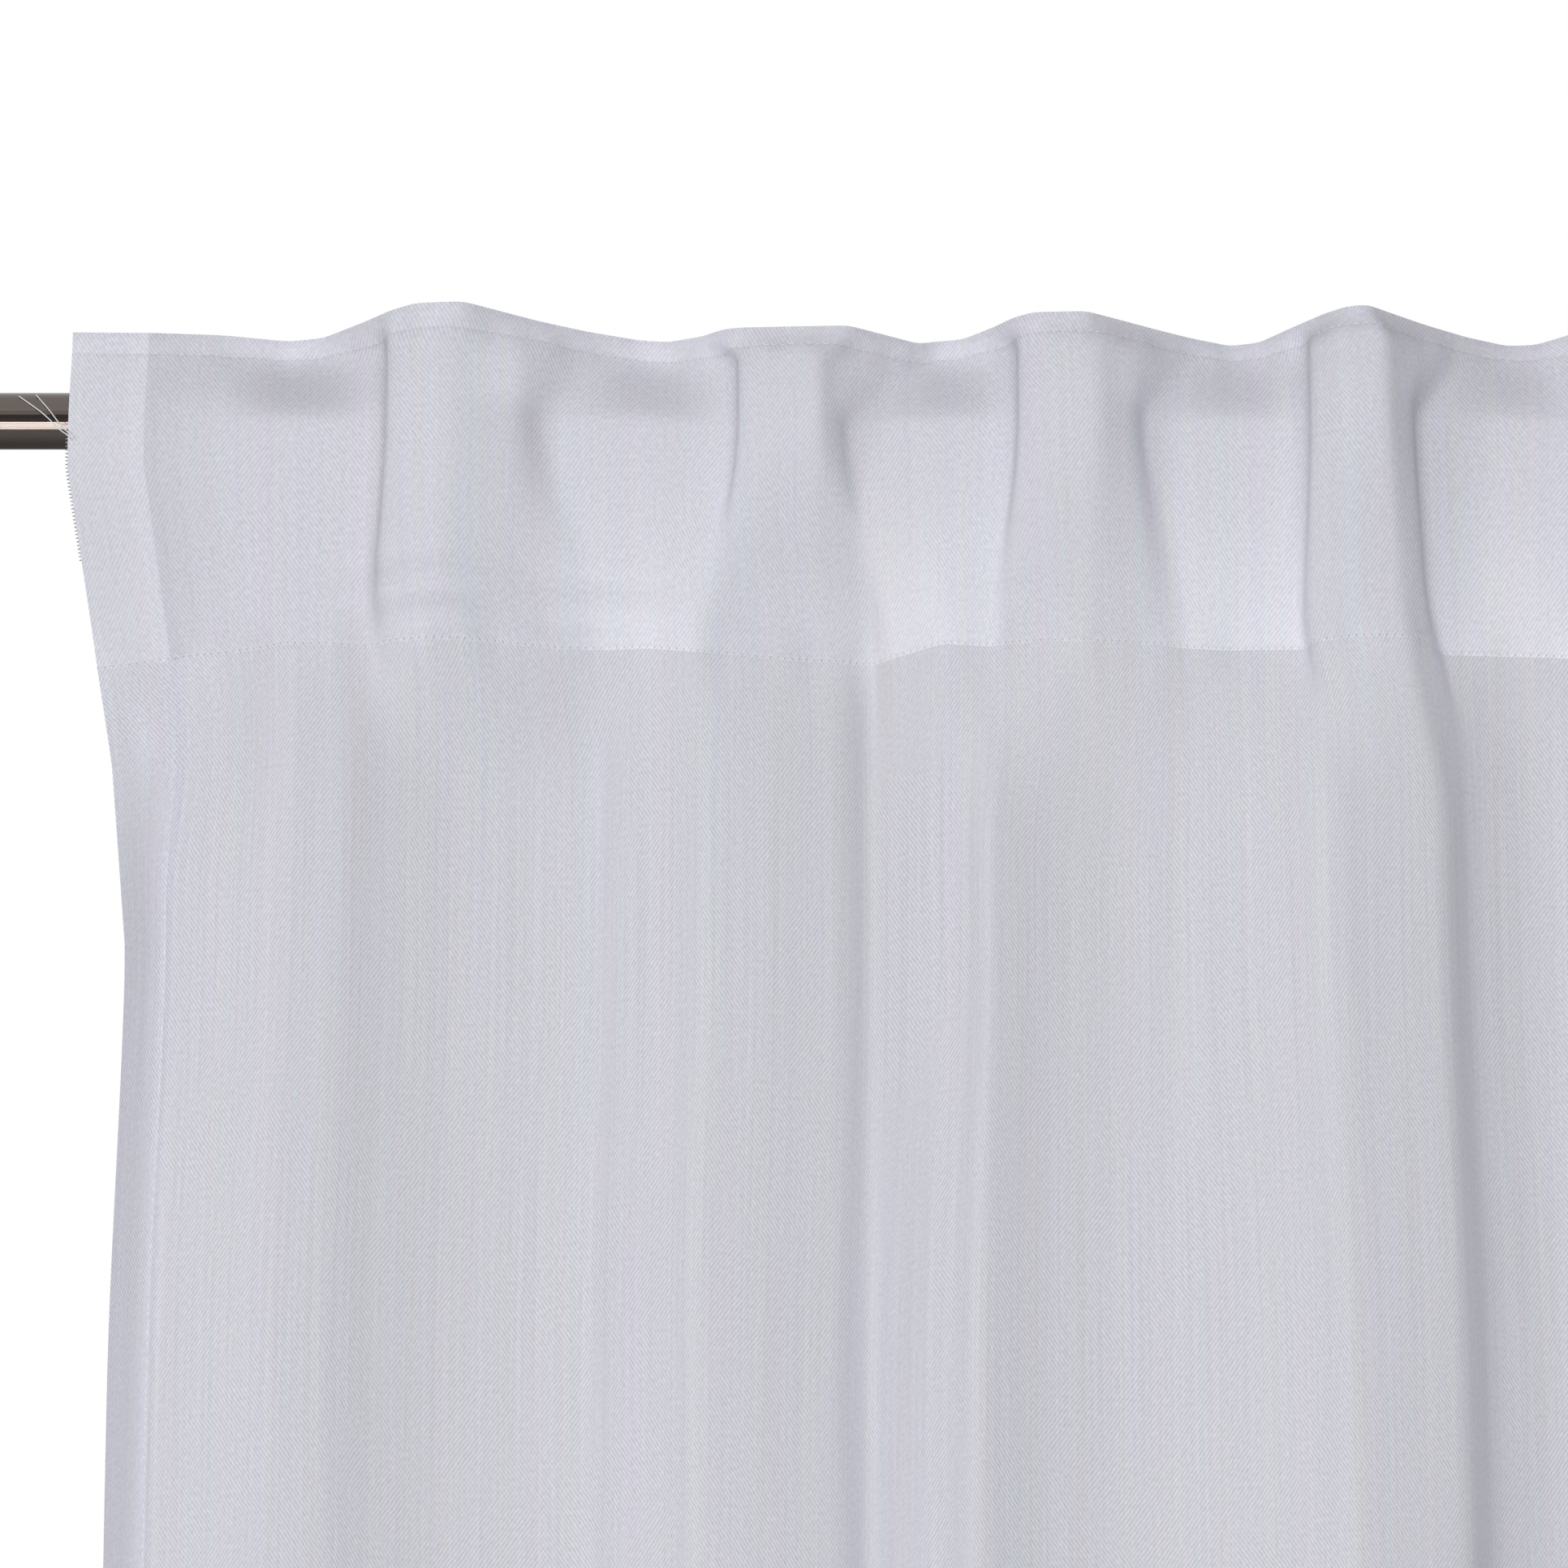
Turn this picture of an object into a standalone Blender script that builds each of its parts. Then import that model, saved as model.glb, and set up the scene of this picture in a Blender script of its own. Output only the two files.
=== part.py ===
"""A white sheer curtain panel that hangs on a steel rod by loops hidden behind its heading.

The rod's axis is the X axis and its middle is the origin. The room is on the -Y side and
+Z is up. The panel, its heading tape and its loops take their shape from one description
of the folds: a row for each fold, and a few levels down the drop between which the folds
change gradually. Sizes are in metres, apart from the fold tables, which are in millimetres.
"""
import math
from collections import namedtuple

import bmesh
import bpy
import numpy as np
from mathutils.bvhtree import BVHTree

MM = 0.001

# ---- rod -------------------------------------------------------------------------------
ROD_LENGTH = 1.300
ROD_DIAMETER = 0.020
ROD_SIDES = 48
ROD_EDGE_BEVEL = 0.0008

# ---- heights of the panel, above (+) and below (-) the rod's axis ------------------------
TOP_EDGE = 0.030
TOP_SEAM = 0.022
NECK = 0.016
ROD_LINE = -0.005
HEADING_SEAM = -0.087
BODY_LEVEL = -0.190
HEM_SEAM = -2.340
BOTTOM_EDGE = -2.420

# Rows of the mesh: the heading first, then the body, which needs fewer.
HEADING_ROWS = (TOP_EDGE, TOP_SEAM, 0.009, ROD_LINE, -0.024, -0.055, HEADING_SEAM)
BODY_ROWS = (-0.110, -0.145, BODY_LEVEL, -0.245, -0.330, -0.450, -0.620, -0.850, -1.130,
             -1.450, -1.780, -2.090, HEM_SEAM, BOTTOM_EDGE)
COLUMNS_PER_FOLD = 10
COLUMNS_PER_SIDE = 5
HEM_COLUMNS = 2

# ---- cloth -------------------------------------------------------------------------------
PANEL_LEFT = -0.565
CLOTH_THICKNESS = 0.0010
HEM_THICKNESS = 0.0016
TAPE_THICKNESS = 0.0008
GAP = 0.0003

# Front of the stiff loop panels at their crease, just below the rod's axis. Above it they lean
# back over the rod to the top seam, and clear it by half a millimetre.
SEAT = 0.0168
SEAT_AT_TOP_SEAM = 0.0028

# How tightly the cloth bends: the width over which a fold line is rounded. It grows from the
# heading's to the body's over a short height below the heading's seam.
HEADING_ROUNDING = 0.0018
BODY_ROUNDING = 0.0036
HEM_ROUNDING = 0.0100
FREE_AFTER = 0.030
FINE_STEP = 0.0005

# ---- loops -------------------------------------------------------------------------------
LOOP_WIDTH = 0.034
LOOP_THICKNESS = 0.0010
LOOP_LIFT = 0.0021
LOOP_TOP_SEAM = 0.0185
LOOP_BOTTOM_SEAM = -0.030
LOOP_SEAM_LENGTH = 0.006
LOOP_ARC_STEPS = 7
LOOP_ARC_START = 75
LOOP_ARC_END = -50
LOOP_STATIONS = 5
LOOP_OFF_ROD = 0.0009

# Edges sharper than this stay sharp when the faces are shaded smoothly.
SHARP_EDGE = math.radians(50)
BEVELLED_EDGE = math.radians(60)

# ---- folds of the heading ----------------------------------------------------------------
# Each ridge stands between two loops. x runs from the panel's left edge. Out is how far
# the cloth stands before the rod's axis, towards the room, and it is negative behind it.
# loop: middle of the loop on the ridge's left. left, right: the ridge's sides at the rod.
# top, rod, seam: how far the ridge's crest stands out at three heights. back and seat: where
# the loop panel stands at the top edge and at the heading's seam. tuck_l, tuck_r: how far the
# cloth turns in behind the ridge's sides, or spreads where negative. lean_l, lean_r: how far
# the sides drift by the seam. sag: how far the ridge droops between its loops. release: the
# height where the ridge begins to turn into the softer fold of the body. crest_l: how far the
# rise on the left is moved along the top edge, and crest_r: where the crest ends there, both
# as a share of the ridge's width. soft_l, soft_r: how gently the sides slope at the seam, from
# 0 for an upright side to 1. round_r: how far the crest's end at the rod draws back from the
# ridge's right side, as a share of its width.
Ridge = namedtuple("Ridge", "loop left right top rod seam back seat tuck_l tuck_r "
                            "lean_l lean_r sag release crest_l crest_r soft_l soft_r round_r")
RIDGES = (
    Ridge(76, 111, 155, 39, 34, 24, 4, 7, 1, -11, -4, 0, 0, -56, 0.03, 1.63, 0.4, 1.0, 0.35),
    Ridge(200, 234, 269, 25, 31, 0, 5, 9, 1, -4, -11, 12, 4, -42, -0.18, 2.12, 1.0, 0.2, 0.0),
    Ridge(305, 332, 372, 30, 34, 14, 4, 11, 1, -5, -7, 6, 0, -84, -0.07, 1.62, 0.8, 0.6, 0.15),
    Ridge(408, 434, 470, 36, 41, 19, 0, 4, 1, -2, -2, 4, 0, -70, 0.16, 1.58, 0.2, 0.1, 0.10),
    Ridge(506, 534, 574, 28, 31, 4, 0, 1, 1, -4, -5, 6, 2, -60, 0.05, 1.80, 0.6, 0.3, 0.0),
    Ridge(612, 640, 684, 35, 38, 21, 2, 8, 1, -14, -3, 2, 0, -80, -0.10, 1.55, 0.3, 0.9, 0.15),
    Ridge(718, 746, 786, 27, 28, 1, 3, 7, 1, -4, -8, 3, 3, -50, 0.10, 1.80, 0.9, 0.4, 0.0),
    Ridge(822, 850, 897, 38, 40, 22, 0, 5, 1, -20, -2, 2, 0, -75, -0.05, 1.50, 0.2, 0.8, 0.10),
    Ridge(930, 957, 1001, 31, 35, 12, 2, 9, 1, -5, -6, 5, 1, -80, 0.0, 1.70, 0.7, 0.4, 0.05),
)
LAST_LOOP = Ridge(1037, 1064, 1090, 0, 0, 0, 3, 7, 0, 0, 0, 0, 0, -87, 0.0, 1.50, 0.0, 0.0, 0.0)

# Points of one fold, from loop to loop. Along is 0 at the loop, 1 and 2 at the ridge's sides
# and 3 at the next loop. Rise is 0 on the loop panel and 1 on the crest. Crest_shift is the
# share that the point takes of the ridge's own crest_l or crest_r. Seam is the upright side
# and soft the gentle one. Tuck is the share of the ridge's tuck that the point takes, to the
# right (+) or to the left (-).
FoldPoint = namedtuple("FoldPoint", "top_along top_rise crest_shift rod_along rod_rise "
                                    "seam_along seam_rise soft_along soft_rise tuck")
FOLD_POINTS = (
    FoldPoint(0.00, 0.00, 0.00, 0.00, 0.00, 0.00, 0.00, 0.00, 0.00, 0),
    FoldPoint(0.34, 0.08, 0.30, 0.60, 0.00, 0.60, 0.00, 0.45, 0.02, 0),
    FoldPoint(0.78, 0.50, 0.70, 1.00, 0.04, 1.00, 0.00, 0.85, 0.15, 1),
    FoldPoint(1.02, 0.78, 0.90, 1.00, 0.62, 1.00, 0.55, 1.05, 0.50, 0),
    FoldPoint(1.22, 0.96, 1.00, 1.34, 0.97, 1.36, 0.95, 1.33, 0.93, 0),
    FoldPoint(1.50, 1.00, 1.00, 1.86, 1.00, 1.85, 1.00, 1.45, 1.00, 0),
    FoldPoint(2.13, 0.50, 0.68, 2.00, 0.55, 2.00, 0.70, 2.05, 0.48, -0.3),
    FoldPoint(2.55, 0.22, 0.43, 2.00, 0.03, 2.00, 0.00, 2.65, 0.10, -1),
)
USUAL_CREST = 1.50

# The crest's end is the first point on a ridge's right, and three points lie on loop panels.
CREST_END = 5
PANEL_POINTS = (0, 1, 7)

# Below the rod the cloth is free to fall back beside a ridge, this far for each mm of tuck,
# and most of the tuck opens again by the heading's seam.
FALL_BEHIND_TUCK = 1.5
TUCK_LEFT_AT_SEAM = 0.3

# The top edge dips this far between the ridges.
TOP_DIP = 1.4

# ---- folds of the body -------------------------------------------------------------------
# The same folds below the heading, where they are softer: x and out of the cloth under the
# loop, on the flank, on the far side, at the lip of the groove and in the groove before the
# next loop. climb: how much of the way back out the cloth makes beside the groove. drift: how
# far the fold has moved sideways at the foot of the photographed part.
BodyFold = namedtuple("BodyFold", "loop loop_out flank flank_out far far_out "
                                  "lip lip_out groove groove_out climb drift")
BODY_FOLDS = (
    BodyFold(78, 18, 111, 8, 135, -1, 166, -6, 188, -7, 0.5, -3),
    BodyFold(201, 4, 221, 16, 243, 12, 273, 2, 281, -8, 0.35, -2),
    BodyFold(304, 13, 320, 26, 343, 15, 366, 9, 388, 8, 0.4, -4),
    BodyFold(409, 13, 438, 25, 458, 20, 480, 14, 489, -5, 0.43, 3),
    BodyFold(506, -13, 527, -9, 548, 2, 566, 11, 590, 16, 0.6, 2),
    BodyFold(612, 18, 634, 22, 655, 15, 676, 2, 690, -2, 0.4, -3),
    BodyFold(720, 8, 744, 19, 764, 16, 784, 9, 791, -8, 0.6, 4),
    BodyFold(824, -9, 850, -1, 876, 9, 898, 18, 912, 16, 0.5, 1),
    BodyFold(934, 10, 958, 1, 980, -5, 1000, -4, 1014, 2, 0.5, -4),
)
LAST_BODY_LOOP = (1040, 9)
KNEE_REACH = 0.62
KNEE_RISE = 0.35
GROOVE_REACH = 0.27

# A ridge turns into its body fold over this height, and the points beyond its crest begin
# this many millimetres higher, so that the groove beside it opens first.
RELEASE_LENGTH = 0.085
GROOVE_AHEAD = 10

# ---- the flat cloth beside the first and last loop -----------------------------------------
# x and out at the top edge, at the rod and in the body, out at the heading's seam, and the
# sag. Both sides draw in below the rod; SIDE_TURN holds heights and how far they have done so.
SidePoint = namedtuple(
    "SidePoint", "top_x top_out rod_x rod_out seam_out body_x body_out sag")
SIDE_TURN = ((BODY_LEVEL, 1.0), (-0.122, 0.735), (-0.020, 0.0))
LEFT_SIDE = (
    SidePoint(1, 17, 0, 16, -8, 22, -10, 3),
    SidePoint(29, 14, 29, 17, -2, 36.5, 12, 2),
    SidePoint(54, 8, 54, 17, 2, 57, 14, 0.6),
)
RIGHT_SIDE = (
    SidePoint(1061, 6, 1062, 17, 5, 1060, 5, 0.6),
    SidePoint(1084, 13, 1084, 17, -1, 1079, -5, 2),
    SidePoint(1112, 17, 1113, 16, -4, 1098, -8, 3),
)

# ---- how the body's folds grow towards the hem ---------------------------------------------
HEM_SPREAD = 1.035
HEM_DEEPENING = 1.60
HEM_WANDER = 5.0
WANDER_PER_FOLD = 2.1
WANDER_PER_METRE = 1.7
WANDER_STARTS = 0.6
DRIFT_LENGTH = 0.16

CLOTH_WHITE = (0.60, 0.60, 0.66, 1.0)
TAPE_WHITE = (0.66, 0.66, 0.70, 1.0)
STEEL_GREY = (0.42, 0.40, 0.38, 1.0)


def clear_scene():
    """Remove what the scene holds, so that the model stands alone."""
    for thing in list(bpy.data.objects):
        bpy.data.objects.remove(thing, do_unlink=True)


def make_material(name, colour, roughness, metallic):
    """A Principled material with one colour and finish."""
    material = bpy.data.materials.new(name)
    material.use_nodes = True
    shader = material.node_tree.nodes["Principled BSDF"]
    shader.inputs["Base Color"].default_value = colour
    shader.inputs["Roughness"].default_value = roughness
    shader.inputs["Metallic"].default_value = metallic
    return material


def ease(value):
    """A smooth step from 0 to 1."""
    value = min(max(value, 0.0), 1.0)
    return value * value * (3.0 - 2.0 * value)


def share(z, start, end):
    """How far z has gone from start to end, eased."""
    return ease((z - start) / (end - start))


def along_fold(ridge, following, along, shift=0.0):
    """x of a place in a fold, where shift is how far the ridge's sides have drifted."""
    marks = (ridge.loop, ridge.left + shift * ridge.lean_l,
             ridge.right + shift * ridge.lean_r, following.loop)
    return float(np.interp(along, (0, 1, 2, 3), marks))


def rise(start, end, along, crest, height):
    """Out of a place that has risen by height from the loop panels to the crest."""
    base = start + (end - start) * along / 3.0
    return base + (crest - base) * height


def between(z, levels, places):
    """A place at height z, in straight runs between the places at a few levels."""
    return np.array([np.interp(z, levels, [place[axis] for place in places]) for axis in (0, 1)])


def heading_fold(ridge, following, z):
    """The points of one fold in the heading, as (x, out, sag) in millimetres."""
    at_seam = share(z, ROD_LINE, HEADING_SEAM)
    at_top = share(z, NECK, TOP_EDGE)
    seat = SEAT / MM
    lean = SEAT_AT_TOP_SEAM / MM
    points = []
    for index, point in enumerate(FOLD_POINTS):
        tuck = point.tuck * (ridge.tuck_l if point.tuck > 0 else ridge.tuck_r)
        fall = FALL_BEHIND_TUCK * max(ridge.tuck_l * (point.tuck > 0),
                                      ridge.tuck_r * (point.tuck < 0))
        on_left = index < CREST_END
        soft = ridge.soft_l if on_left else ridge.soft_r
        moved = ridge.crest_l if on_left else ridge.crest_r - USUAL_CREST
        top_along = point.top_along + moved * point.crest_shift
        seam_along = point.seam_along + (point.soft_along - point.seam_along) * soft
        seam_rise = point.seam_rise + (point.soft_rise - point.seam_rise) * soft
        top_x = along_fold(ridge, following, top_along)
        top_out = rise(ridge.back, following.back, top_along, ridge.top, point.top_rise)
        lean_out = rise(lean, lean, top_along, ridge.top, point.top_rise)
        rod_along = point.rod_along - ridge.round_r * (index == CREST_END)
        rod_x = along_fold(ridge, following, rod_along) + tuck
        rod_out = rise(seat, seat, rod_along, ridge.rod, point.rod_rise)
        seam_x = along_fold(ridge, following, seam_along, 1.0) + tuck * TUCK_LEFT_AT_SEAM
        seam_out = rise(ridge.seat, following.seat, seam_along, ridge.seam, seam_rise) - fall
        rod = np.array((rod_x, rod_out))
        top = np.array((top_x, top_out))
        seam = np.array((seam_x, seam_out))
        if index in PANEL_POINTS:
            place = between(z, (ROD_LINE, TOP_SEAM, TOP_EDGE), (rod, (top_x, lean_out), top))
        else:
            place = rod + (top - rod) * at_top
        sag = ridge.sag * math.sin(math.pi * point.rod_along / 3) ** 2
        sag += TOP_DIP * (1.0 - point.top_rise) * share(z, TOP_SEAM, TOP_EDGE)
        points.append(np.array((*(place + (seam - rod) * at_seam), sag)))
    return points


def body_fold(fold, next_loop):
    """The points of one fold in the body, in the same order as the heading's."""
    loop = np.array((fold.loop, fold.loop_out))
    flank = np.array((fold.flank, fold.flank_out))
    far = np.array((fold.far, fold.far_out))
    lip = np.array((fold.lip, fold.lip_out))
    groove = np.array((fold.groove, fold.groove_out))
    knee = loop + (flank - loop) * (KNEE_REACH, KNEE_RISE)
    climb = groove + (np.array(next_loop) - groove) * (GROOVE_REACH, fold.climb)
    return [loop, knee, flank, (flank + far) / 2, far, lip, groove, climb]


def side_points(side, z):
    """The points of the flat cloth at one side, at a height."""
    at_seam = share(z, ROD_LINE, HEADING_SEAM)
    at_top = share(z, ROD_LINE, TOP_EDGE)
    in_body = share(z, HEADING_SEAM, BODY_LEVEL)
    across = float(np.interp(z, *zip(*SIDE_TURN)))
    points = []
    for point in side:
        x = point.rod_x + (point.top_x - point.rod_x) * at_top
        x += (point.body_x - point.rod_x) * across
        out = point.rod_out + (point.top_out - point.rod_out) * at_top
        out += (point.seam_out - point.rod_out) * at_seam
        out += (point.body_out - point.seam_out) * in_body
        points.append(np.array((x, out, point.sag)))
    return points


def towards_hem(place, fold_number, drift, z):
    """Spread, deepen and wander a point of the body as it goes down to the hem."""
    down = max(BODY_LEVEL - z, 0.0)
    settle = ease(down / (BODY_LEVEL - BOTTOM_EDGE))
    middle = (RIDGES[0].loop + LAST_LOOP.loop) / 2
    spread = 1.0 + (HEM_SPREAD - 1.0) * settle
    deepen = 1.0 + (HEM_DEEPENING - 1.0) * settle
    wander = HEM_WANDER * math.sin(WANDER_PER_FOLD * fold_number + WANDER_PER_METRE * down)
    wander *= ease(down / WANDER_STARTS)
    shift = drift * ease(down / DRIFT_LENGTH)
    x = middle + (place[0] - middle) * spread + shift + wander
    return np.array((x, place[1] * deepen + wander, place[2]))


def release_share(release, z):
    """How far a fold has turned from its heading shape into its body shape."""
    start = release * MM
    return share(z, start, start - RELEASE_LENGTH)


def control_line(z):
    """Every point of the cloth's cross-section at a height, and each loop's place in it."""
    loops = RIDGES + (LAST_LOOP,)
    body_loops = [(fold.loop, fold.loop_out) for fold in BODY_FOLDS] + [LAST_BODY_LOOP]
    line = [towards_hem(point, 0, BODY_FOLDS[0].drift, z) for point in side_points(LEFT_SIDE, z)]
    marks = [len(line)]
    for number, fold in enumerate(BODY_FOLDS):
        heading = heading_fold(loops[number], loops[number + 1], z)
        body = body_fold(fold, body_loops[number + 1])
        release = loops[number].release
        for index, (upper, lower) in enumerate(zip(heading, body)):
            ahead = GROOVE_AHEAD if index > CREST_END else 0
            upper[:2] += (lower - upper[:2]) * release_share(release + ahead, z)
            line.append(towards_hem(upper, number, fold.drift, z))
        marks.append(len(line))
    last = heading_fold(LAST_LOOP, LAST_LOOP, z)[0]
    last[:2] += (np.array(LAST_BODY_LOOP) - last[:2]) * release_share(LAST_LOOP.release, z)
    line.append(towards_hem(last, len(RIDGES), 0.0, z))
    line += [towards_hem(point, len(RIDGES), 0.0, z) for point in side_points(RIGHT_SIDE, z)]
    return np.array(line) * MM, marks


def rounding(z):
    """How softly the cloth bends at a height."""
    body = share(z, HEADING_SEAM, HEADING_SEAM - FREE_AFTER)
    hem = share(z, BODY_LEVEL, BOTTOM_EDGE)
    return HEADING_ROUNDING + (BODY_ROUNDING - HEADING_ROUNDING) * body + (
        HEM_ROUNDING - BODY_ROUNDING) * hem


def round_line(line, width):
    """The line with its corners rounded, and the length along it of each given point."""
    lengths = np.concatenate(([0.0], np.cumsum(np.hypot(*np.diff(line[:, :2], axis=0).T))))
    fine = np.linspace(0.0, lengths[-1], int(lengths[-1] / FINE_STEP) + 1)
    dense = np.column_stack([np.interp(fine, lengths, values) for values in line.T])
    reach = int(3.0 * width / FINE_STEP)
    weights = np.exp(-0.5 * (np.arange(-reach, reach + 1) * FINE_STEP / width) ** 2)
    weights /= weights.sum()
    before = 2 * dense[0] - dense[reach:0:-1]
    after = 2 * dense[-1] - dense[-2:-reach - 2:-1]
    padded = np.vstack((before, dense, after))
    smooth = [np.convolve(values, weights, mode="valid") for values in padded.T]
    return fine, np.column_stack(smooth), lengths


def section(z):
    """The columns of one row: the cloth's front at a height, evenly spaced in each fold."""
    line, marks = control_line(z)
    fine, smooth, lengths = round_line(line, rounding(z))
    stops = [0.0] + [lengths[mark] for mark in marks] + [lengths[-1]]
    counts = [COLUMNS_PER_SIDE] + [COLUMNS_PER_FOLD] * len(RIDGES) + [COLUMNS_PER_SIDE]
    places = [0.0]
    for start, end, count in zip(stops[:-1], stops[1:], counts):
        places += list(np.linspace(start, end, count + 1)[1:])
    x, out, sag = (np.interp(places, fine, values) for values in smooth.T)
    return np.column_stack((PANEL_LEFT + x, -out, z - sag))


def back_normals(front):
    """Unit normals of the grid that point to the back of the cloth."""
    across = np.gradient(front, axis=1)
    down = np.gradient(front, axis=0)
    normals = np.cross(across, down)
    return normals / np.linalg.norm(normals, axis=2, keepdims=True)


def thickness_map(rows, columns):
    """The cloth's thickness: more where it is turned at the sides and bottom."""
    thickness = np.full((len(rows), columns), CLOTH_THICKNESS)
    thickness[:, :HEM_COLUMNS] = HEM_THICKNESS
    thickness[:, -HEM_COLUMNS:] = HEM_THICKNESS
    for number, z in enumerate(rows):
        if z <= HEM_SEAM:
            thickness[number, :] = HEM_THICKNESS
    return thickness[:, :, None]


def closed_sheet(name, front, back, material):
    """An object that fills the space between a front and a back grid."""
    rows, columns, _ = front.shape
    front_index = np.arange(rows * columns).reshape(rows, columns)
    back_index = front_index + rows * columns
    faces = []

    def add(a, b, c, d):
        faces.append((int(a), int(b), int(c)))
        faces.append((int(a), int(c), int(d)))

    for i in range(rows - 1):
        for j in range(columns - 1):
            add(front_index[i, j], front_index[i + 1, j],
                front_index[i + 1, j + 1], front_index[i, j + 1])
            faces.append((int(back_index[i, j]), int(back_index[i + 1, j + 1]),
                          int(back_index[i + 1, j])))
            faces.append((int(back_index[i, j]), int(back_index[i, j + 1]),
                          int(back_index[i + 1, j + 1])))
    for i in range(rows - 1):
        add(front_index[i, 0], back_index[i, 0], back_index[i + 1, 0], front_index[i + 1, 0])
        add(front_index[i, -1], front_index[i + 1, -1], back_index[i + 1, -1],
            back_index[i, -1])
    for j in range(columns - 1):
        add(front_index[0, j], front_index[0, j + 1], back_index[0, j + 1], back_index[0, j])
        add(front_index[-1, j], back_index[-1, j], back_index[-1, j + 1],
            front_index[-1, j + 1])
    mesh = bpy.data.meshes.new(name)
    mesh.from_pydata(np.vstack((front.reshape(-1, 3), back.reshape(-1, 3))).tolist(), [], faces)
    mesh.validate()
    return add_object(name, mesh, material)


def add_object(name, mesh, material):
    """Put a mesh in the scene as a smooth-shaded object."""
    mesh.materials.append(material)
    thing = bpy.data.objects.new(name, mesh)
    bpy.context.scene.collection.objects.link(thing)
    mesh.shade_smooth()
    mesh.set_sharp_from_angle(angle=SHARP_EDGE)
    return thing


def make_rod(material):
    """A plain round rod along X with softened ends."""
    shape = bmesh.new()
    bmesh.ops.create_cone(shape, cap_ends=True, segments=ROD_SIDES, radius1=ROD_DIAMETER / 2,
                          radius2=ROD_DIAMETER / 2, depth=ROD_LENGTH)
    turn = np.array(((0, 0, 1), (0, 1, 0), (-1, 0, 0)))
    for vertex in shape.verts:
        vertex.co = turn @ np.array(vertex.co)
    mesh = bpy.data.meshes.new("rod")
    shape.to_mesh(mesh)
    shape.free()
    rod = add_object("rod", mesh, material)
    bevel = rod.modifiers.new("soft_ends", "BEVEL")
    bevel.width = ROD_EDGE_BEVEL
    bevel.segments = 1
    bevel.limit_method = "ANGLE"
    bevel.angle_limit = BEVELLED_EDGE
    return rod


def loop_route(tape_surface, x):
    """The middle line of a loop in the YZ plane at x, from its top seam round the rod."""
    radius = ROD_DIAMETER / 2 + LOOP_OFF_ROD

    def on_tape(z):
        hit, _, _, _ = tape_surface.ray_cast((x, ROD_LENGTH, z), (0, -1, 0))
        return hit.y + LOOP_LIFT, z

    route = [on_tape(LOOP_TOP_SEAM), on_tape(LOOP_TOP_SEAM - LOOP_SEAM_LENGTH)]
    for angle in np.linspace(LOOP_ARC_START, LOOP_ARC_END, LOOP_ARC_STEPS):
        turn = math.radians(angle)
        route.append((radius * math.cos(turn), radius * math.sin(turn)))
    route.append(on_tape(LOOP_BOTTOM_SEAM + LOOP_SEAM_LENGTH))
    route.append(on_tape(LOOP_BOTTOM_SEAM))
    return np.array(route)


def make_loop(name, middle, tape_surface, material):
    """A short band from the tape, over and behind the rod, and back to the tape."""
    inner = []
    outer = []
    for x in np.linspace(middle - LOOP_WIDTH / 2, middle + LOOP_WIDTH / 2, LOOP_STATIONS):
        route = loop_route(tape_surface, x)
        along = np.gradient(route, axis=0)
        along /= np.linalg.norm(along, axis=1, keepdims=True)
        sideways = np.column_stack((-along[:, 1], along[:, 0])) * LOOP_THICKNESS / 2
        inner.append([(x, y, z) for y, z in route - sideways])
        outer.append([(x, y, z) for y, z in route + sideways])
    front = np.array(inner).transpose(1, 0, 2)
    back = np.array(outer).transpose(1, 0, 2)
    return closed_sheet(name, front, back, material)


def build():
    """Model the rod, the panel, the tape and the loops."""
    clear_scene()
    voile = make_material("voile", CLOTH_WHITE, 0.85, 0.0)
    tape_cloth = make_material("heading_tape", TAPE_WHITE, 0.80, 0.0)
    steel = make_material("brushed_steel", STEEL_GREY, 0.32, 1.0)
    make_rod(steel)
    rows = HEADING_ROWS + BODY_ROWS
    front = np.array([section(z) for z in rows])
    normals = back_normals(front)
    thickness = thickness_map(rows, front.shape[1])
    closed_sheet("curtain_panel", front, front + normals * thickness, voile)
    first = HEADING_ROWS.index(TOP_SEAM)
    last = HEADING_ROWS.index(HEADING_SEAM) + 1
    taped = slice(first, last)
    near = thickness[taped] + GAP
    tape_front = front[taped] + normals[taped] * near
    tape_back = tape_front + normals[taped] * TAPE_THICKNESS
    tape = closed_sheet("heading_tape", tape_front, tape_back, tape_cloth)
    tape_surface = BVHTree.FromPolygons([v.co for v in tape.data.vertices],
                                        [p.vertices for p in tape.data.polygons])
    rod_row = HEADING_ROWS.index(ROD_LINE)
    for number in range(len(RIDGES) + 1):
        column = COLUMNS_PER_SIDE + COLUMNS_PER_FOLD * number
        make_loop(f"loop_{number + 1:02d}", float(front[rod_row, column, 0]),
                  tape_surface, tape_cloth)


build()
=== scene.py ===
# %% [markdown]
# # A sheer voile curtain on its rod
# This lesson dresses a hung curtain: a white voile panel with a wide sewn heading, the woven
# tape and the hidden loops behind it, and the steel rod that carries it. The solids give the
# shape of the folds. Here the cloth becomes a thin sheet on those same folds, and gets its
# hems, its weave, its stitches and its loose threads.

# %% Load the frame
import math
from collections import namedtuple

import bpy
import numpy as np
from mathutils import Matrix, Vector
from mathutils.bvhtree import BVHTree


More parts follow.
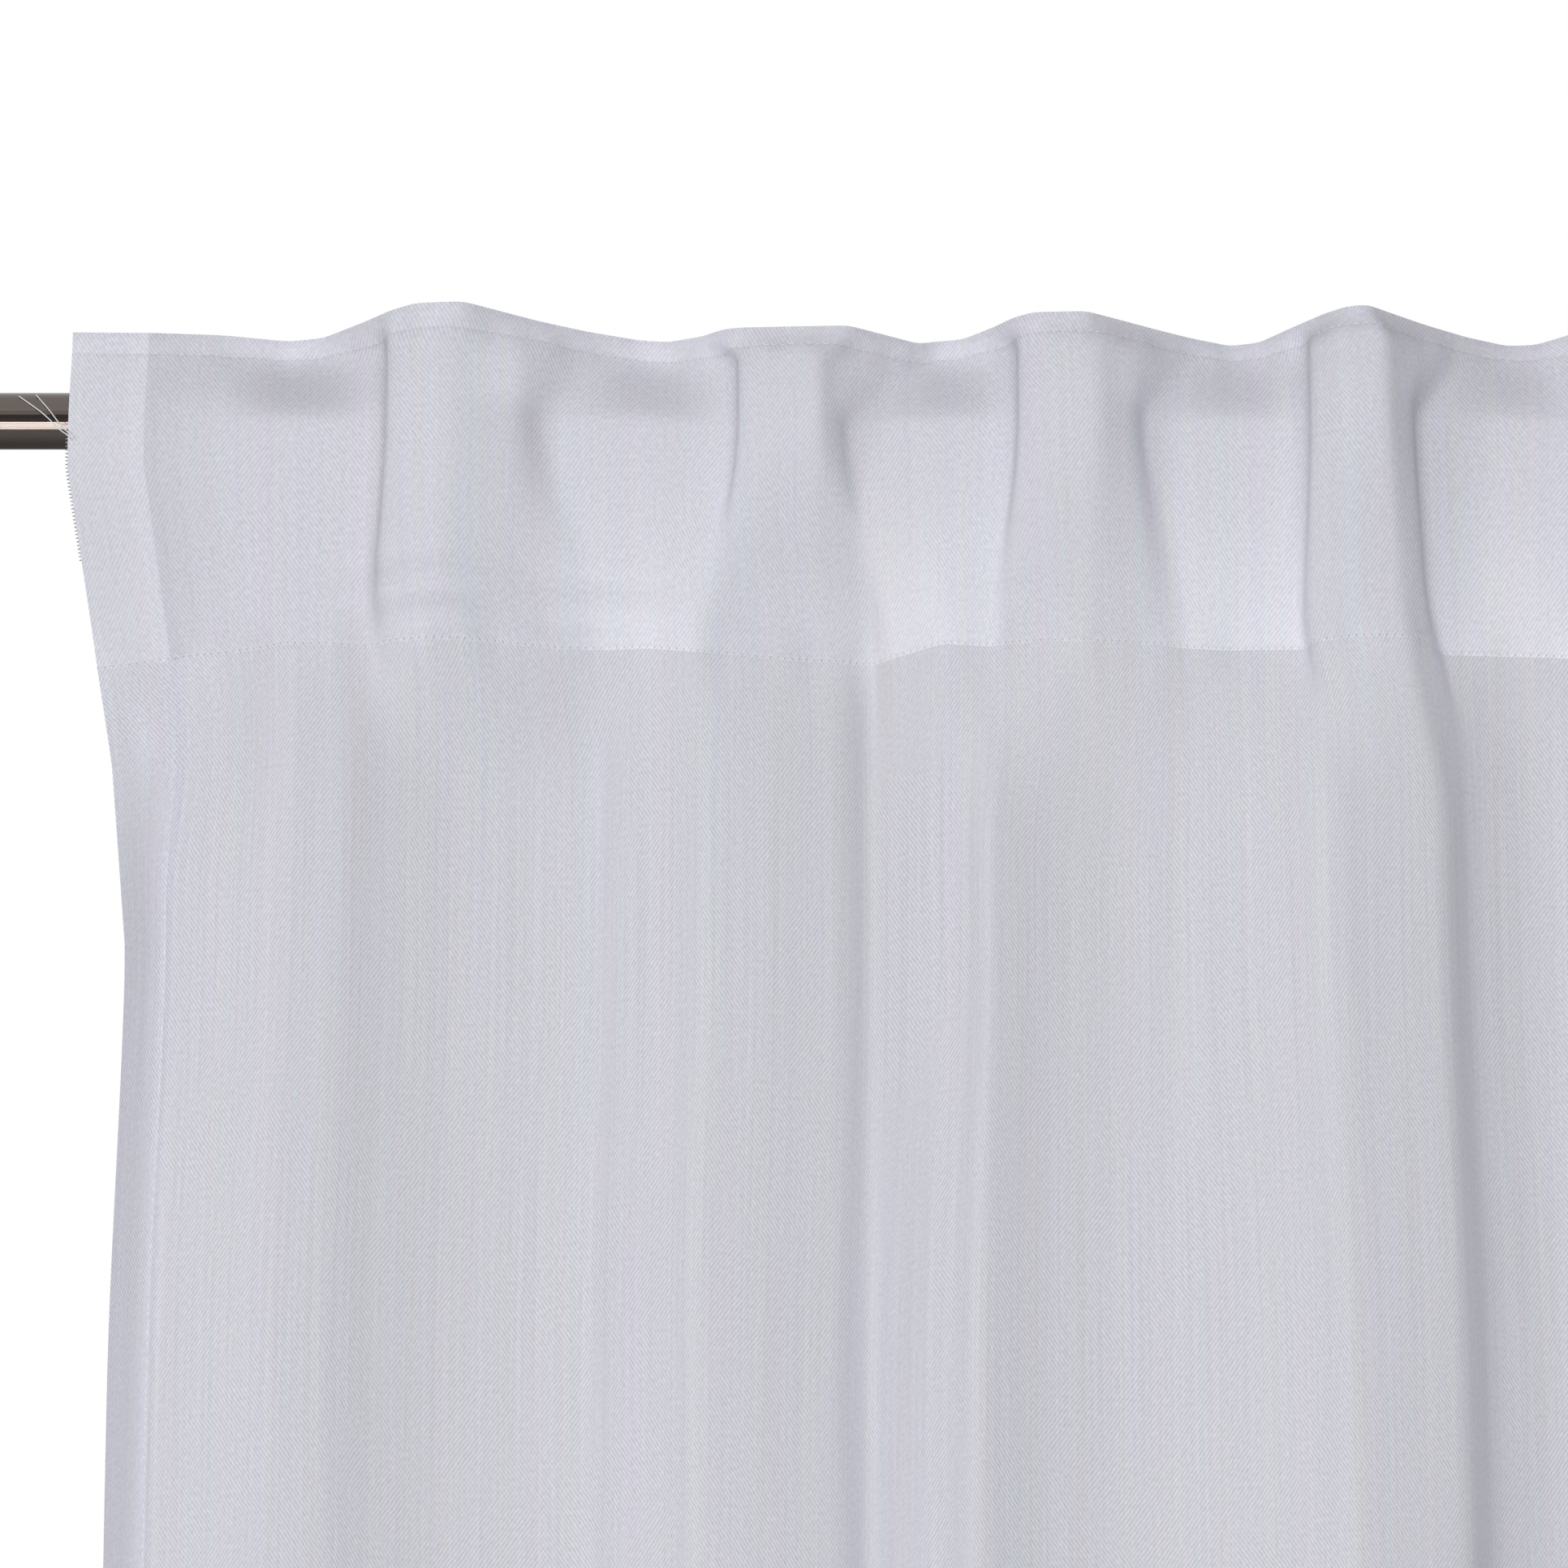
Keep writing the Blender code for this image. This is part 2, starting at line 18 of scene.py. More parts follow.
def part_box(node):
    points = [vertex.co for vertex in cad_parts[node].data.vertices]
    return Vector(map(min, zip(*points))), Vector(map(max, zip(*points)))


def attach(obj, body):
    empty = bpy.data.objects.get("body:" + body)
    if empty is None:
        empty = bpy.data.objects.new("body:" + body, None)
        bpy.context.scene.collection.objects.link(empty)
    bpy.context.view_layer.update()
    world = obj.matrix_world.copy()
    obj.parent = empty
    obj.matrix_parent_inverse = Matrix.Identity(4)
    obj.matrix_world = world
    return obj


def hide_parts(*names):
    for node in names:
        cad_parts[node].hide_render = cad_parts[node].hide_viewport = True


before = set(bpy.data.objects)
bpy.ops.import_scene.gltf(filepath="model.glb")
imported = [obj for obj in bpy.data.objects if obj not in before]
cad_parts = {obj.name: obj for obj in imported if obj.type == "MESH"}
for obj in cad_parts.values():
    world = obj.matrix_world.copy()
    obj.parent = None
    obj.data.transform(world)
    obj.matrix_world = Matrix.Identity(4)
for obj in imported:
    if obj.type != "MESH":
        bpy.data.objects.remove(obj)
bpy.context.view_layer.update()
MM = 0.001
print("solids:", sorted(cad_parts))

# %% [markdown]
# ## Where the picture is taken from
# The photo looks up at the heading from below, so every ridge shows its top edge as a wave.
# A level line of cloth that stands 1 mm nearer then moves up by a third of a millimetre in the
# picture, which is how the depth of each ridge was read. A long lens from a few metres away
# keeps the folds' sides as narrow as in the photo. Two readings place the camera: the panel's
# left edge lies 88 pixels from the left, and the rod's axis at the height of pixel row 519.

# %% Camera
PICTURE = 1932
PIXELS_PER_METRE = 3500.0
EDGE_COLUMN = 88
ROD_ROW = 519
PANEL_LEFT = -0.565
LOOK_UP = math.radians(19)
DISTANCE = 3.7
SENSOR = 36.0

look = Vector((0, math.cos(LOOK_UP), math.sin(LOOK_UP)))
up = Vector((0, -math.sin(LOOK_UP), math.cos(LOOK_UP)))
middle_x = PANEL_LEFT + (PICTURE / 2 - EDGE_COLUMN) / PIXELS_PER_METRE
target = Vector((middle_x, 0, 0)) - up * (PICTURE / 2 - ROD_ROW) / PIXELS_PER_METRE
lens = bpy.data.cameras.new("camera")
lens.sensor_width = SENSOR
lens.sensor_fit = "HORIZONTAL"
lens.lens = SENSOR * DISTANCE * PIXELS_PER_METRE / PICTURE
lens.clip_end = 50.0
camera = bpy.data.objects.new("camera", lens)
camera.location = target - look * DISTANCE
camera.rotation_euler = look.to_track_quat("-Z", "Y").to_euler()
bpy.context.scene.collection.objects.link(camera)
bpy.context.scene.camera = camera
print(f"camera at {tuple(round(c, 3) for c in camera.location)}, lens {lens.lens:.0f} mm")

# %% [markdown]
# ## Light
# White cloth needs very even light: a large soft lamp near the camera does most of the work, and
# a small low one fills in below it. A weaker one from the left gives the folds a bright side and
# a dull side, and a little light from behind comes through the sheer cloth. The rod is dark
# steel, which shows only what it mirrors. So each lamp states whether it lights the cloth and
# whether the steel mirrors it, and one lamp is there for the rod's highlight alone. The
# surroundings are white to the camera and dimmer as a light, because otherwise the folds would
# lose their shade. Mirrored rays that go up meet a brighter ceiling, which lights the rod's top.

# %% Lamps and surroundings
AROUND = 0.19
CEILING = 1.0
CEILING_STARTS = 0.13
CEILING_FULL = 0.27
Lamp = namedtuple("Lamp", "name place size watts on_cloth on_steel")
LAMPS = (
    Lamp("front", target + Vector((0.1, -2.4, 0.70)), 2.4, 41.0, True, False),
    Lamp("low", target + Vector((0.2, -2.0, -1.50)), 0.30, 9.0, True, False),
    Lamp("left", Vector((middle_x - 2.05, -1.60, -0.55)), 0.9, 18.5, True, True),
    Lamp("behind", Vector((middle_x + 0.3, 1.6, -0.9)), 0.8, 8.0, True, True),
    Lamp("gleam", Vector((-0.755, -2.0, -1.60)), 0.70, 17.0, False, True),
)
for lamp in LAMPS:
    light = bpy.data.lights.new(lamp.name, "AREA")
    light.size = lamp.size
    light.energy = lamp.watts
    holder = bpy.data.objects.new(lamp.name, light)
    holder.location = lamp.place
    holder.visible_diffuse = holder.visible_transmission = lamp.on_cloth
    holder.visible_glossy = lamp.on_steel
    holder.rotation_euler = (target - lamp.place).to_track_quat("-Z", "Y").to_euler()
    bpy.context.scene.collection.objects.link(holder)
world = bpy.data.worlds.new("studio")
world.use_nodes = True
bpy.context.scene.world = world
sky = world.node_tree
dim = sky.nodes["Background"]
dim.inputs["Color"].default_value = (1, 1, 1, 1)
direction = sky.nodes.new("ShaderNodeTexCoord")
height = sky.nodes.new("ShaderNodeSeparateXYZ")
ceiling = sky.nodes.new("ShaderNodeMapRange")
ceiling.inputs["From Min"].default_value = CEILING_STARTS
ceiling.inputs["From Max"].default_value = CEILING_FULL
ceiling.inputs["To Max"].default_value = CEILING - AROUND
mirrored = sky.nodes.new("ShaderNodeMath")
mirrored.operation = "MULTIPLY_ADD"
mirrored.inputs[2].default_value = AROUND
white = sky.nodes.new("ShaderNodeBackground")
white.inputs["Color"].default_value = (1, 1, 1, 1)
seen = sky.nodes.new("ShaderNodeLightPath")
choose = sky.nodes.new("ShaderNodeMixShader")
sky.links.new(direction.outputs["Generated"], height.inputs[0])
sky.links.new(height.outputs["Z"], ceiling.inputs["Value"])
sky.links.new(seen.outputs["Is Glossy Ray"], mirrored.inputs[0])
sky.links.new(ceiling.outputs["Result"], mirrored.inputs[1])
sky.links.new(mirrored.outputs[0], dim.inputs["Strength"])
sky.links.new(seen.outputs["Is Camera Ray"], choose.inputs[0])
sky.links.new(dim.outputs[0], choose.inputs[1])
sky.links.new(white.outputs[0], choose.inputs[2])
sky.links.new(choose.outputs[0], sky.nodes["World Output"].inputs["Surface"])
bpy.context.scene.view_settings.view_transform = "Standard"
print("lamps:", [lamp.name for lamp in LAMPS])

# %% [markdown]
# ## Shader maths as plain Python
# A cloth material is mostly arithmetic on the thread's place. Chains of Math nodes are hard to
# read, so a small class wraps a socket: adding or multiplying two of them adds the node that
# does it. The same class makes any other node, and it serves Geometry Nodes as well.

# %% A socket that does arithmetic
class Wire:
    """The output of a node, with which one can calculate."""

    def __init__(self, graph, socket):
        self.graph = graph
        self.socket = socket

    def is_number(self):
        return self.socket.type in ("VALUE", "INT", "BOOLEAN")

    def calculate(self, operation, first, second=None):
        """A Math node for numbers, and a Vector Math node for colours and vectors."""
        both_numbers = all(not isinstance(item, tuple) and (
            not isinstance(item, Wire) or item.is_number()) for item in (first, second))
        kind = "ShaderNodeMath" if both_numbers else "ShaderNodeVectorMath"
        inputs = {0: first} if second is None else {0: first, 1: second}
        return self.graph.node(kind, inputs, operation=operation)

    def __add__(self, other):
        return self.calculate("ADD", self, other)

    def __radd__(self, other):
        return self.calculate("ADD", other, self)

    def __sub__(self, other):
        return self.calculate("SUBTRACT", self, other)

    def __rsub__(self, other):
        return self.calculate("SUBTRACT", other, self)

    def __mul__(self, other):
        return self.calculate("MULTIPLY", self, other)

    def __rmul__(self, other):
        return self.calculate("MULTIPLY", other, self)

    def __truediv__(self, other):
        return self.calculate("DIVIDE", self, other)

    def __lt__(self, other):
        return self.calculate("LESS_THAN", self, other)

    def __gt__(self, other):
        return self.calculate("GREATER_THAN", self, other)

    def __abs__(self):
        return self.calculate("ABSOLUTE", self)

    def wave(self, pitch):
        """A cosine of this length, with the given pitch."""
        return self.calculate("COSINE", self * (2.0 * math.pi / pitch))


class Graph:
    """A node tree and the one method that adds nodes to it."""

    def __init__(self, tree):
        self.tree = tree

    def node(self, kind, inputs=None, output=0, stops=None, **settings):
        """Add a node: its settings first, then the values or wires of its inputs."""
        made = self.tree.nodes.new(kind)
        for name, value in settings.items():
            setattr(made, name, value)
        if stops:
            ramp = made.color_ramp.elements
            while len(ramp) < len(stops):
                ramp.new(0.5)
            for element, (position, colour) in zip(ramp, stops):
                element.position = position
                element.color = colour
        for name, value in (inputs or {}).items():
            if isinstance(value, Wire):
                self.tree.links.new(value.socket, made.inputs[name])
            elif isinstance(value, (int, float)) and made.inputs[name].type == "VECTOR":
                made.inputs[name].default_value = (value,) * 3
            else:
                made.inputs[name].default_value = value
        return Wire(self, made.outputs[output])

    def mix(self, share, first, second):
        """A colour between two others."""
        colours = {0: share, 6: first, 7: second}
        return self.node("ShaderNodeMix", colours, output=2, data_type="RGBA")

    def noise(self, place, scale, detail=2.0, roughness=0.5):
        inputs = {"Vector": place, "Scale": scale, "Detail": detail, "Roughness": roughness}
        return self.node("ShaderNodeTexNoise", inputs)

    def split(self, vector):
        parts = self.node("ShaderNodeSeparateXYZ", {0: vector})
        return [Wire(self, socket) for socket in parts.socket.node.outputs]

    def vector(self, x, y, z=0.0):
        return self.node("ShaderNodeCombineXYZ", {0: x, 1: y, 2: z})

    def bump(self, height, strength, distance):
        inputs = {"Height": height, "Strength": strength, "Distance": distance}
        return self.node("ShaderNodeBump", inputs)


def new_material(name, **finish):
    """A Principled material, its graph and its shader, with the constant inputs set."""
    material = bpy.data.materials.new(name)
    material.use_nodes = True
    shader = material.node_tree.nodes["Principled BSDF"]
    for label, value in finish.items():
        shader.inputs[label.replace("_", " ").title()].default_value = value
    return material, Graph(material.node_tree), shader


def feed(shader, **wires):
    """Connect what changes over the surface."""
    for label, wire in wires.items():
        wire.graph.tree.links.new(wire.socket, shader.inputs[label.replace("_", " ").title()])


print("shader maths ready")

# %% [markdown]
# ## The folds
# The heading is stiff and stands in ridges between the loops, which hold flat panels against the
# rod. Below its seam the cloth is free and turns softer. All of that is one description: points
# of the cross-section in a table, a row for each fold, which change gradually down the drop.
# The solids were made from the same numbers, so the sheet lies where they are, only finer.
#
# A ridge's row gives in millimetres where its loop and its two sides are, how far the crest
# stands out at the top, the rod and the seam, and how far the loop panel stands out at the top
# (back) and the seam (seat). Its sides can be tucked in and can lean on their way to the seam,
# and the ridge can sag. Release is the height where the fold begins to turn into its body shape.
# The last columns say how far the crest's left part is moved along the top, where its right end
# lies there, how soft each side gets by the seam and how round the right shoulder is. A fold
# point gives its place along the fold, from loop to loop as 0 to 3, and its share of the
# ridge's rise, at the top, the rod and the seam. The flat cloth at each side has points of its
# own, and a short list of heights says how far it has drawn in on its way down.

# %% Sizes and levels
TOP_EDGE = 0.030
TOP_SEAM = 0.022
NECK = 0.016
ROD_LINE = -0.005
HEADING_SEAM = -0.087
BODY_LEVEL = -0.190
HEM_SEAM = -2.340
BOTTOM_EDGE = -2.420
SEAT = 0.0168
SEAT_AT_TOP_SEAM = 0.0028
HEADING_ROUNDING = 0.0018
BODY_ROUNDING = 0.0036
HEM_ROUNDING = 0.0100
FREE_AFTER = 0.030
FINE_STEP = 0.0005
FLAT_WIDTH = 1.35
DROP = TOP_EDGE - BOTTOM_EDGE
SIDE_HEM = 0.029
BOTTOM_HEM = 0.080
TOP_TURNING = 0.022
HEADING_DEPTH = TOP_EDGE - HEADING_SEAM
print(f"panel {FLAT_WIDTH:.2f} m wide when flat, {DROP:.2f} m long")

# %% Fold tables
Ridge = namedtuple("Ridge", "loop left right top rod seam back seat tuck_l tuck_r "
                            "lean_l lean_r sag release crest_l crest_r soft_l soft_r round_r")
RIDGES = (
    Ridge(76, 111, 155, 39, 34, 24, 4, 7, 1, -11, -4, 0, 0, -56, 0.03, 1.63, 0.4, 1.0, 0.35),
    Ridge(200, 234, 269, 25, 31, 0, 5, 9, 1, -4, -11, 12, 4, -42, -0.18, 2.12, 1.0, 0.2, 0.0),
    Ridge(305, 332, 372, 30, 34, 14, 4, 11, 1, -5, -7, 6, 0, -84, -0.07, 1.62, 0.8, 0.6, 0.15),
    Ridge(408, 434, 470, 36, 41, 19, 0, 4, 1, -2, -2, 4, 0, -70, 0.16, 1.58, 0.2, 0.1, 0.10),
    Ridge(506, 534, 574, 28, 31, 4, 0, 1, 1, -4, -5, 6, 2, -60, 0.05, 1.80, 0.6, 0.3, 0.0),
    Ridge(612, 640, 684, 35, 38, 21, 2, 8, 1, -14, -3, 2, 0, -80, -0.10, 1.55, 0.3, 0.9, 0.15),
    Ridge(718, 746, 786, 27, 28, 1, 3, 7, 1, -4, -8, 3, 3, -50, 0.10, 1.80, 0.9, 0.4, 0.0),
    Ridge(822, 850, 897, 38, 40, 22, 0, 5, 1, -20, -2, 2, 0, -75, -0.05, 1.50, 0.2, 0.8, 0.10),
    Ridge(930, 957, 1001, 31, 35, 12, 2, 9, 1, -5, -6, 5, 1, -80, 0.0, 1.70, 0.7, 0.4, 0.05),
)
LAST_LOOP = Ridge(1037, 1064, 1090, 0, 0, 0, 3, 7, 0, 0, 0, 0, 0, -87, 0.0, 1.50, 0.0, 0.0, 0.0)
FoldPoint = namedtuple("FoldPoint", "top_along top_rise crest_shift rod_along rod_rise "
                                    "seam_along seam_rise soft_along soft_rise tuck")
FOLD_POINTS = (
    FoldPoint(0.00, 0.00, 0.00, 0.00, 0.00, 0.00, 0.00, 0.00, 0.00, 0),
    FoldPoint(0.34, 0.08, 0.30, 0.60, 0.00, 0.60, 0.00, 0.45, 0.02, 0),
    FoldPoint(0.78, 0.50, 0.70, 1.00, 0.04, 1.00, 0.00, 0.85, 0.15, 1),
    FoldPoint(1.02, 0.78, 0.90, 1.00, 0.62, 1.00, 0.55, 1.05, 0.50, 0),
    FoldPoint(1.22, 0.96, 1.00, 1.34, 0.97, 1.36, 0.95, 1.33, 0.93, 0),
    FoldPoint(1.50, 1.00, 1.00, 1.86, 1.00, 1.85, 1.00, 1.45, 1.00, 0),
    FoldPoint(2.13, 0.50, 0.68, 2.00, 0.55, 2.00, 0.70, 2.05, 0.48, -0.3),
    FoldPoint(2.55, 0.22, 0.43, 2.00, 0.03, 2.00, 0.00, 2.65, 0.10, -1),
)
USUAL_CREST = 1.50
CREST_END = 5
# Painted light on each loop's flat panel, one value for each loop.
PANEL_PAINTED_LIGHT = (0.0, 0.80, 0.95, 1.0, 1.0, 0.9, 0.8, 1.0, 0.9, 0.3)
# Painted shadow of the rod on each loop's panel, one value for each loop.
ROD_PAINTED_SHADOW = (0.85, 0.55, 0.7, 0.55, 0.35, 0.7, 0.5, 0.6, 0.7, 0.5)
# Painted light on the steep fall beyond each crest, given as a painted shade below zero.
FALL_PAINTED_LIGHT = -0.70
PANEL_POINTS = (0, 1, 7)
LIT_POINTS = (0, 1, 2, 7)
SHADED_POINTS = (0, 1)
FALL_POINT = 6
LAST_POINT = 7
FALL_BEHIND_TUCK = 1.5
TUCK_LEFT_AT_SEAM = 0.3
TOP_DIP = 1.4
BodyFold = namedtuple("BodyFold", "loop loop_out flank flank_out far far_out "
                                  "lip lip_out groove groove_out climb drift")
BODY_FOLDS = (
    BodyFold(78, 18, 111, 8, 135, -1, 166, -6, 188, -7, 0.5, -3),
    BodyFold(201, 4, 221, 16, 243, 12, 273, 2, 281, -8, 0.35, -2),
    BodyFold(304, 13, 320, 26, 343, 15, 366, 9, 388, 8, 0.4, -4),
    BodyFold(409, 13, 438, 25, 458, 20, 480, 14, 489, -5, 0.43, 3),
    BodyFold(506, -13, 527, -9, 548, 2, 566, 11, 590, 16, 0.6, 2),
    BodyFold(612, 18, 634, 22, 655, 15, 676, 2, 690, -2, 0.4, -3),
    BodyFold(720, 8, 744, 19, 764, 16, 784, 9, 791, -8, 0.6, 4),
    BodyFold(824, -9, 850, -1, 876, 9, 898, 18, 912, 16, 0.5, 1),
    BodyFold(934, 10, 958, 1, 980, -5, 1000, -4, 1014, 2, 0.5, -4),
)
LAST_BODY_LOOP = (1040, 9)
KNEE_REACH = 0.62
KNEE_RISE = 0.35
GROOVE_REACH = 0.27
SidePoint = namedtuple(
    "SidePoint", "top_x top_out rod_x rod_out seam_out body_x body_out sag")
SIDE_TURN = ((BODY_LEVEL, 1.0), (-0.122, 0.735), (-0.020, 0.0))
LEFT_SIDE = (
    SidePoint(1, 17, 0, 16, -8, 22, -10, 3),
    SidePoint(29, 14, 29, 17, -2, 36.5, 12, 2),
    SidePoint(54, 8, 54, 17, 2, 57, 14, 0.6),
)
RIGHT_SIDE = (
    SidePoint(1061, 6, 1062, 17, 5, 1060, 5, 0.6),
    SidePoint(1084, 13, 1084, 17, -1, 1079, -5, 2),
    SidePoint(1112, 17, 1113, 16, -4, 1098, -8, 3),
)
HEM_SPREAD = 1.035
HEM_DEEPENING = 1.60
HEM_WANDER = 5.0
WANDER_PER_FOLD = 2.1
WANDER_PER_METRE = 1.7
WANDER_STARTS = 0.6
DRIFT_LENGTH = 0.16
RELEASE_LENGTH = 0.085
GROOVE_AHEAD = 10
print(f"{len(RIDGES)} ridges between {len(RIDGES) + 1} loops")

# %% [markdown]
# A cross-section is worked out at one height at a time. Each point carries three more values
# besides its place: how far it sags, how much painted light brightens the loop panel there, and
# how much painted shade darkens it, which stands for the rod's shadow. A painted shade below zero
# paints light onto the steep fall beyond a crest. The material uses the last two.
# The corners are then rounded with a soft average, more softly in the free cloth than in the
# stiff heading.


# %% One fold at a height
def ease(value):
    """A smooth step from 0 to 1."""
    value = min(max(value, 0.0), 1.0)
    return value * value * (3.0 - 2.0 * value)


def share(z, start, end):
    """How far z has gone from start to end, eased."""
    return ease((z - start) / (end - start))


def along_fold(ridge, following, along, shift=0.0):
    """x of a place in a fold: 0 at the loop, 1 and 2 at the ridge's sides, 3 at the next."""
    marks = (ridge.loop, ridge.left + shift * ridge.lean_l,
             ridge.right + shift * ridge.lean_r, following.loop)
    return float(np.interp(along, (0, 1, 2, 3), marks))


def rise(start, end, along, crest, height):
    """Out of a place that has risen by height from the loop panels to the crest."""
    base = start + (end - start) * along / 3.0
    return base + (crest - base) * height


def between(z, levels, places):
    """A place at height z, in straight runs between the places at a few levels."""
    return np.array([np.interp(z, levels, [place[axis] for place in places]) for axis in (0, 1)])


def heading_fold(ridge, following, z, number):
    """The points of one fold in the heading: x, out, sag, painted light and painted shade."""
    at_seam = share(z, ROD_LINE, HEADING_SEAM)
    at_top = share(z, NECK, TOP_EDGE)
    seat = SEAT / MM
    lean = SEAT_AT_TOP_SEAM / MM
    points = []
    for index, point in enumerate(FOLD_POINTS):
        tuck = point.tuck * (ridge.tuck_l if point.tuck > 0 else ridge.tuck_r)
        fall = FALL_BEHIND_TUCK * max(ridge.tuck_l * (point.tuck > 0),
                                      ridge.tuck_r * (point.tuck < 0))
        on_left = index < CREST_END
        soft = ridge.soft_l if on_left else ridge.soft_r
        moved = ridge.crest_l if on_left else ridge.crest_r - USUAL_CREST
        top_along = point.top_along + moved * point.crest_shift
        seam_along = point.seam_along + (point.soft_along - point.seam_along) * soft
        seam_rise = point.seam_rise + (point.soft_rise - point.seam_rise) * soft
        top_x = along_fold(ridge, following, top_along)
        top_out = rise(ridge.back, following.back, top_along, ridge.top, point.top_rise)
        lean_out = rise(lean, lean, top_along, ridge.top, point.top_rise)
        rod_along = point.rod_along - ridge.round_r * (index == CREST_END)
        rod_x = along_fold(ridge, following, rod_along) + tuck
        rod_out = rise(seat, seat, rod_along, ridge.rod, point.rod_rise)
        seam_x = along_fold(ridge, following, seam_along, 1.0) + tuck * TUCK_LEFT_AT_SEAM
        seam_out = rise(ridge.seat, following.seat, seam_along, ridge.seam, seam_rise) - fall
        rod = np.array((rod_x, rod_out))
        top = np.array((top_x, top_out))
        seam = np.array((seam_x, seam_out))
        if index in PANEL_POINTS:
            place = between(z, (ROD_LINE, TOP_SEAM, TOP_EDGE), (rod, (top_x, lean_out), top))
        else:
            place = rod + (top - rod) * at_top
        sag = ridge.sag * math.sin(math.pi * point.rod_along / 3) ** 2
        sag += TOP_DIP * (1.0 - point.top_rise) * share(z, TOP_SEAM, TOP_EDGE)
        # Painted light and painted shade that the material gets at this point.
        shine, shade = 0.0, FALL_PAINTED_LIGHT * (index == FALL_POINT)
        if index in LIT_POINTS:
            loop = min(number + (index == LAST_POINT), len(PANEL_PAINTED_LIGHT) - 1)
            shine, shade = PANEL_PAINTED_LIGHT[loop], ROD_PAINTED_SHADOW[loop] * (index in SHADED_POINTS)
        points.append(np.array((*(place + (seam - rod) * at_seam), sag, shine, shade)))
    return points


def body_fold(fold, next_loop):
    """The points of one fold in the body, in the same order as the heading's."""
    loop = np.array((fold.loop, fold.loop_out))
    flank = np.array((fold.flank, fold.flank_out))
    far = np.array((fold.far, fold.far_out))
    lip = np.array((fold.lip, fold.lip_out))
    groove = np.array((fold.groove, fold.groove_out))
    knee = loop + (flank - loop) * (KNEE_REACH, KNEE_RISE)
    climb = groove + (np.array(next_loop) - groove) * (GROOVE_REACH, fold.climb)
    return [loop, knee, flank, (flank + far) / 2, far, lip, groove, climb]


def side_points(side, z):
    """The points of the flat cloth at one side, at a height."""
    at_seam = share(z, ROD_LINE, HEADING_SEAM)
    at_top = share(z, ROD_LINE, TOP_EDGE)
    in_body = share(z, HEADING_SEAM, BODY_LEVEL)
    across = float(np.interp(z, *zip(*SIDE_TURN)))
    points = []
    for point in side:
        x = point.rod_x + (point.top_x - point.rod_x) * at_top
        x += (point.body_x - point.rod_x) * across
        out = point.rod_out + (point.top_out - point.rod_out) * at_top
        out += (point.seam_out - point.rod_out) * at_seam
        out += (point.body_out - point.seam_out) * in_body
        points.append(np.array((x, out, point.sag, 0.0, 0.0)))
    return points


def towards_hem(place, fold_number, drift, z):
    """Spread, deepen and wander a point of the body as it goes down to the hem."""
    down = max(BODY_LEVEL - z, 0.0)
    settle = ease(down / (BODY_LEVEL - BOTTOM_EDGE))
    middle = (RIDGES[0].loop + LAST_LOOP.loop) / 2
    spread = 1.0 + (HEM_SPREAD - 1.0) * settle
    deepen = 1.0 + (HEM_DEEPENING - 1.0) * settle
    wander = HEM_WANDER * math.sin(WANDER_PER_FOLD * fold_number + WANDER_PER_METRE * down)
    wander *= ease(down / WANDER_STARTS)
    shift = drift * ease(down / DRIFT_LENGTH)
    x = middle + (place[0] - middle) * spread + shift + wander
    return np.array((x, place[1] * deepen + wander, *place[2:]))


def release_share(release, z):
    """How far a fold has turned from its heading shape into its body shape."""
    start = release * MM
    return share(z, start, start - RELEASE_LENGTH)


# %% The whole cross-section
COLUMNS_PER_FOLD = 44
COLUMNS_BESIDE_HEM = 12
HEM_COLUMNS = (0.0, 0.0012, 0.007, 0.014, 0.021, SIDE_HEM - 0.001, SIDE_HEM + 0.001)


def control_line(z):
    """Every point of the cloth's cross-section at a height, and each loop's place in it."""
    loops = RIDGES + (LAST_LOOP,)
    body_loops = [(fold.loop, fold.loop_out) for fold in BODY_FOLDS] + [LAST_BODY_LOOP]
    line = [towards_hem(point, 0, BODY_FOLDS[0].drift, z) for point in side_points(LEFT_SIDE, z)]
    marks = [len(line)]
    for number, fold in enumerate(BODY_FOLDS):
        heading = heading_fold(loops[number], loops[number + 1], z, number)
        body = body_fold(fold, body_loops[number + 1])
        release = loops[number].release
        for index, (upper, lower) in enumerate(zip(heading, body)):
            ahead = GROOVE_AHEAD if index > CREST_END else 0
            upper[:2] += (lower - upper[:2]) * release_share(release + ahead, z)
            line.append(towards_hem(upper, number, fold.drift, z))
        marks.append(len(line))
    last = heading_fold(LAST_LOOP, LAST_LOOP, z, len(RIDGES))[0]
    last[:2] += (np.array(LAST_BODY_LOOP) - last[:2]) * release_share(LAST_LOOP.release, z)
    line.append(towards_hem(last, len(RIDGES), 0.0, z))
    line += [towards_hem(point, len(RIDGES), 0.0, z) for point in side_points(RIGHT_SIDE, z)]
    return np.array(line) * (MM, MM, MM, 1.0, 1.0), marks


def rounding(z):
    """How softly the cloth bends at a height."""
    body = share(z, HEADING_SEAM, HEADING_SEAM - FREE_AFTER)
    hem = share(z, BODY_LEVEL, BOTTOM_EDGE)
    return HEADING_ROUNDING + (BODY_ROUNDING - HEADING_ROUNDING) * body + (
        HEM_ROUNDING - BODY_ROUNDING) * hem


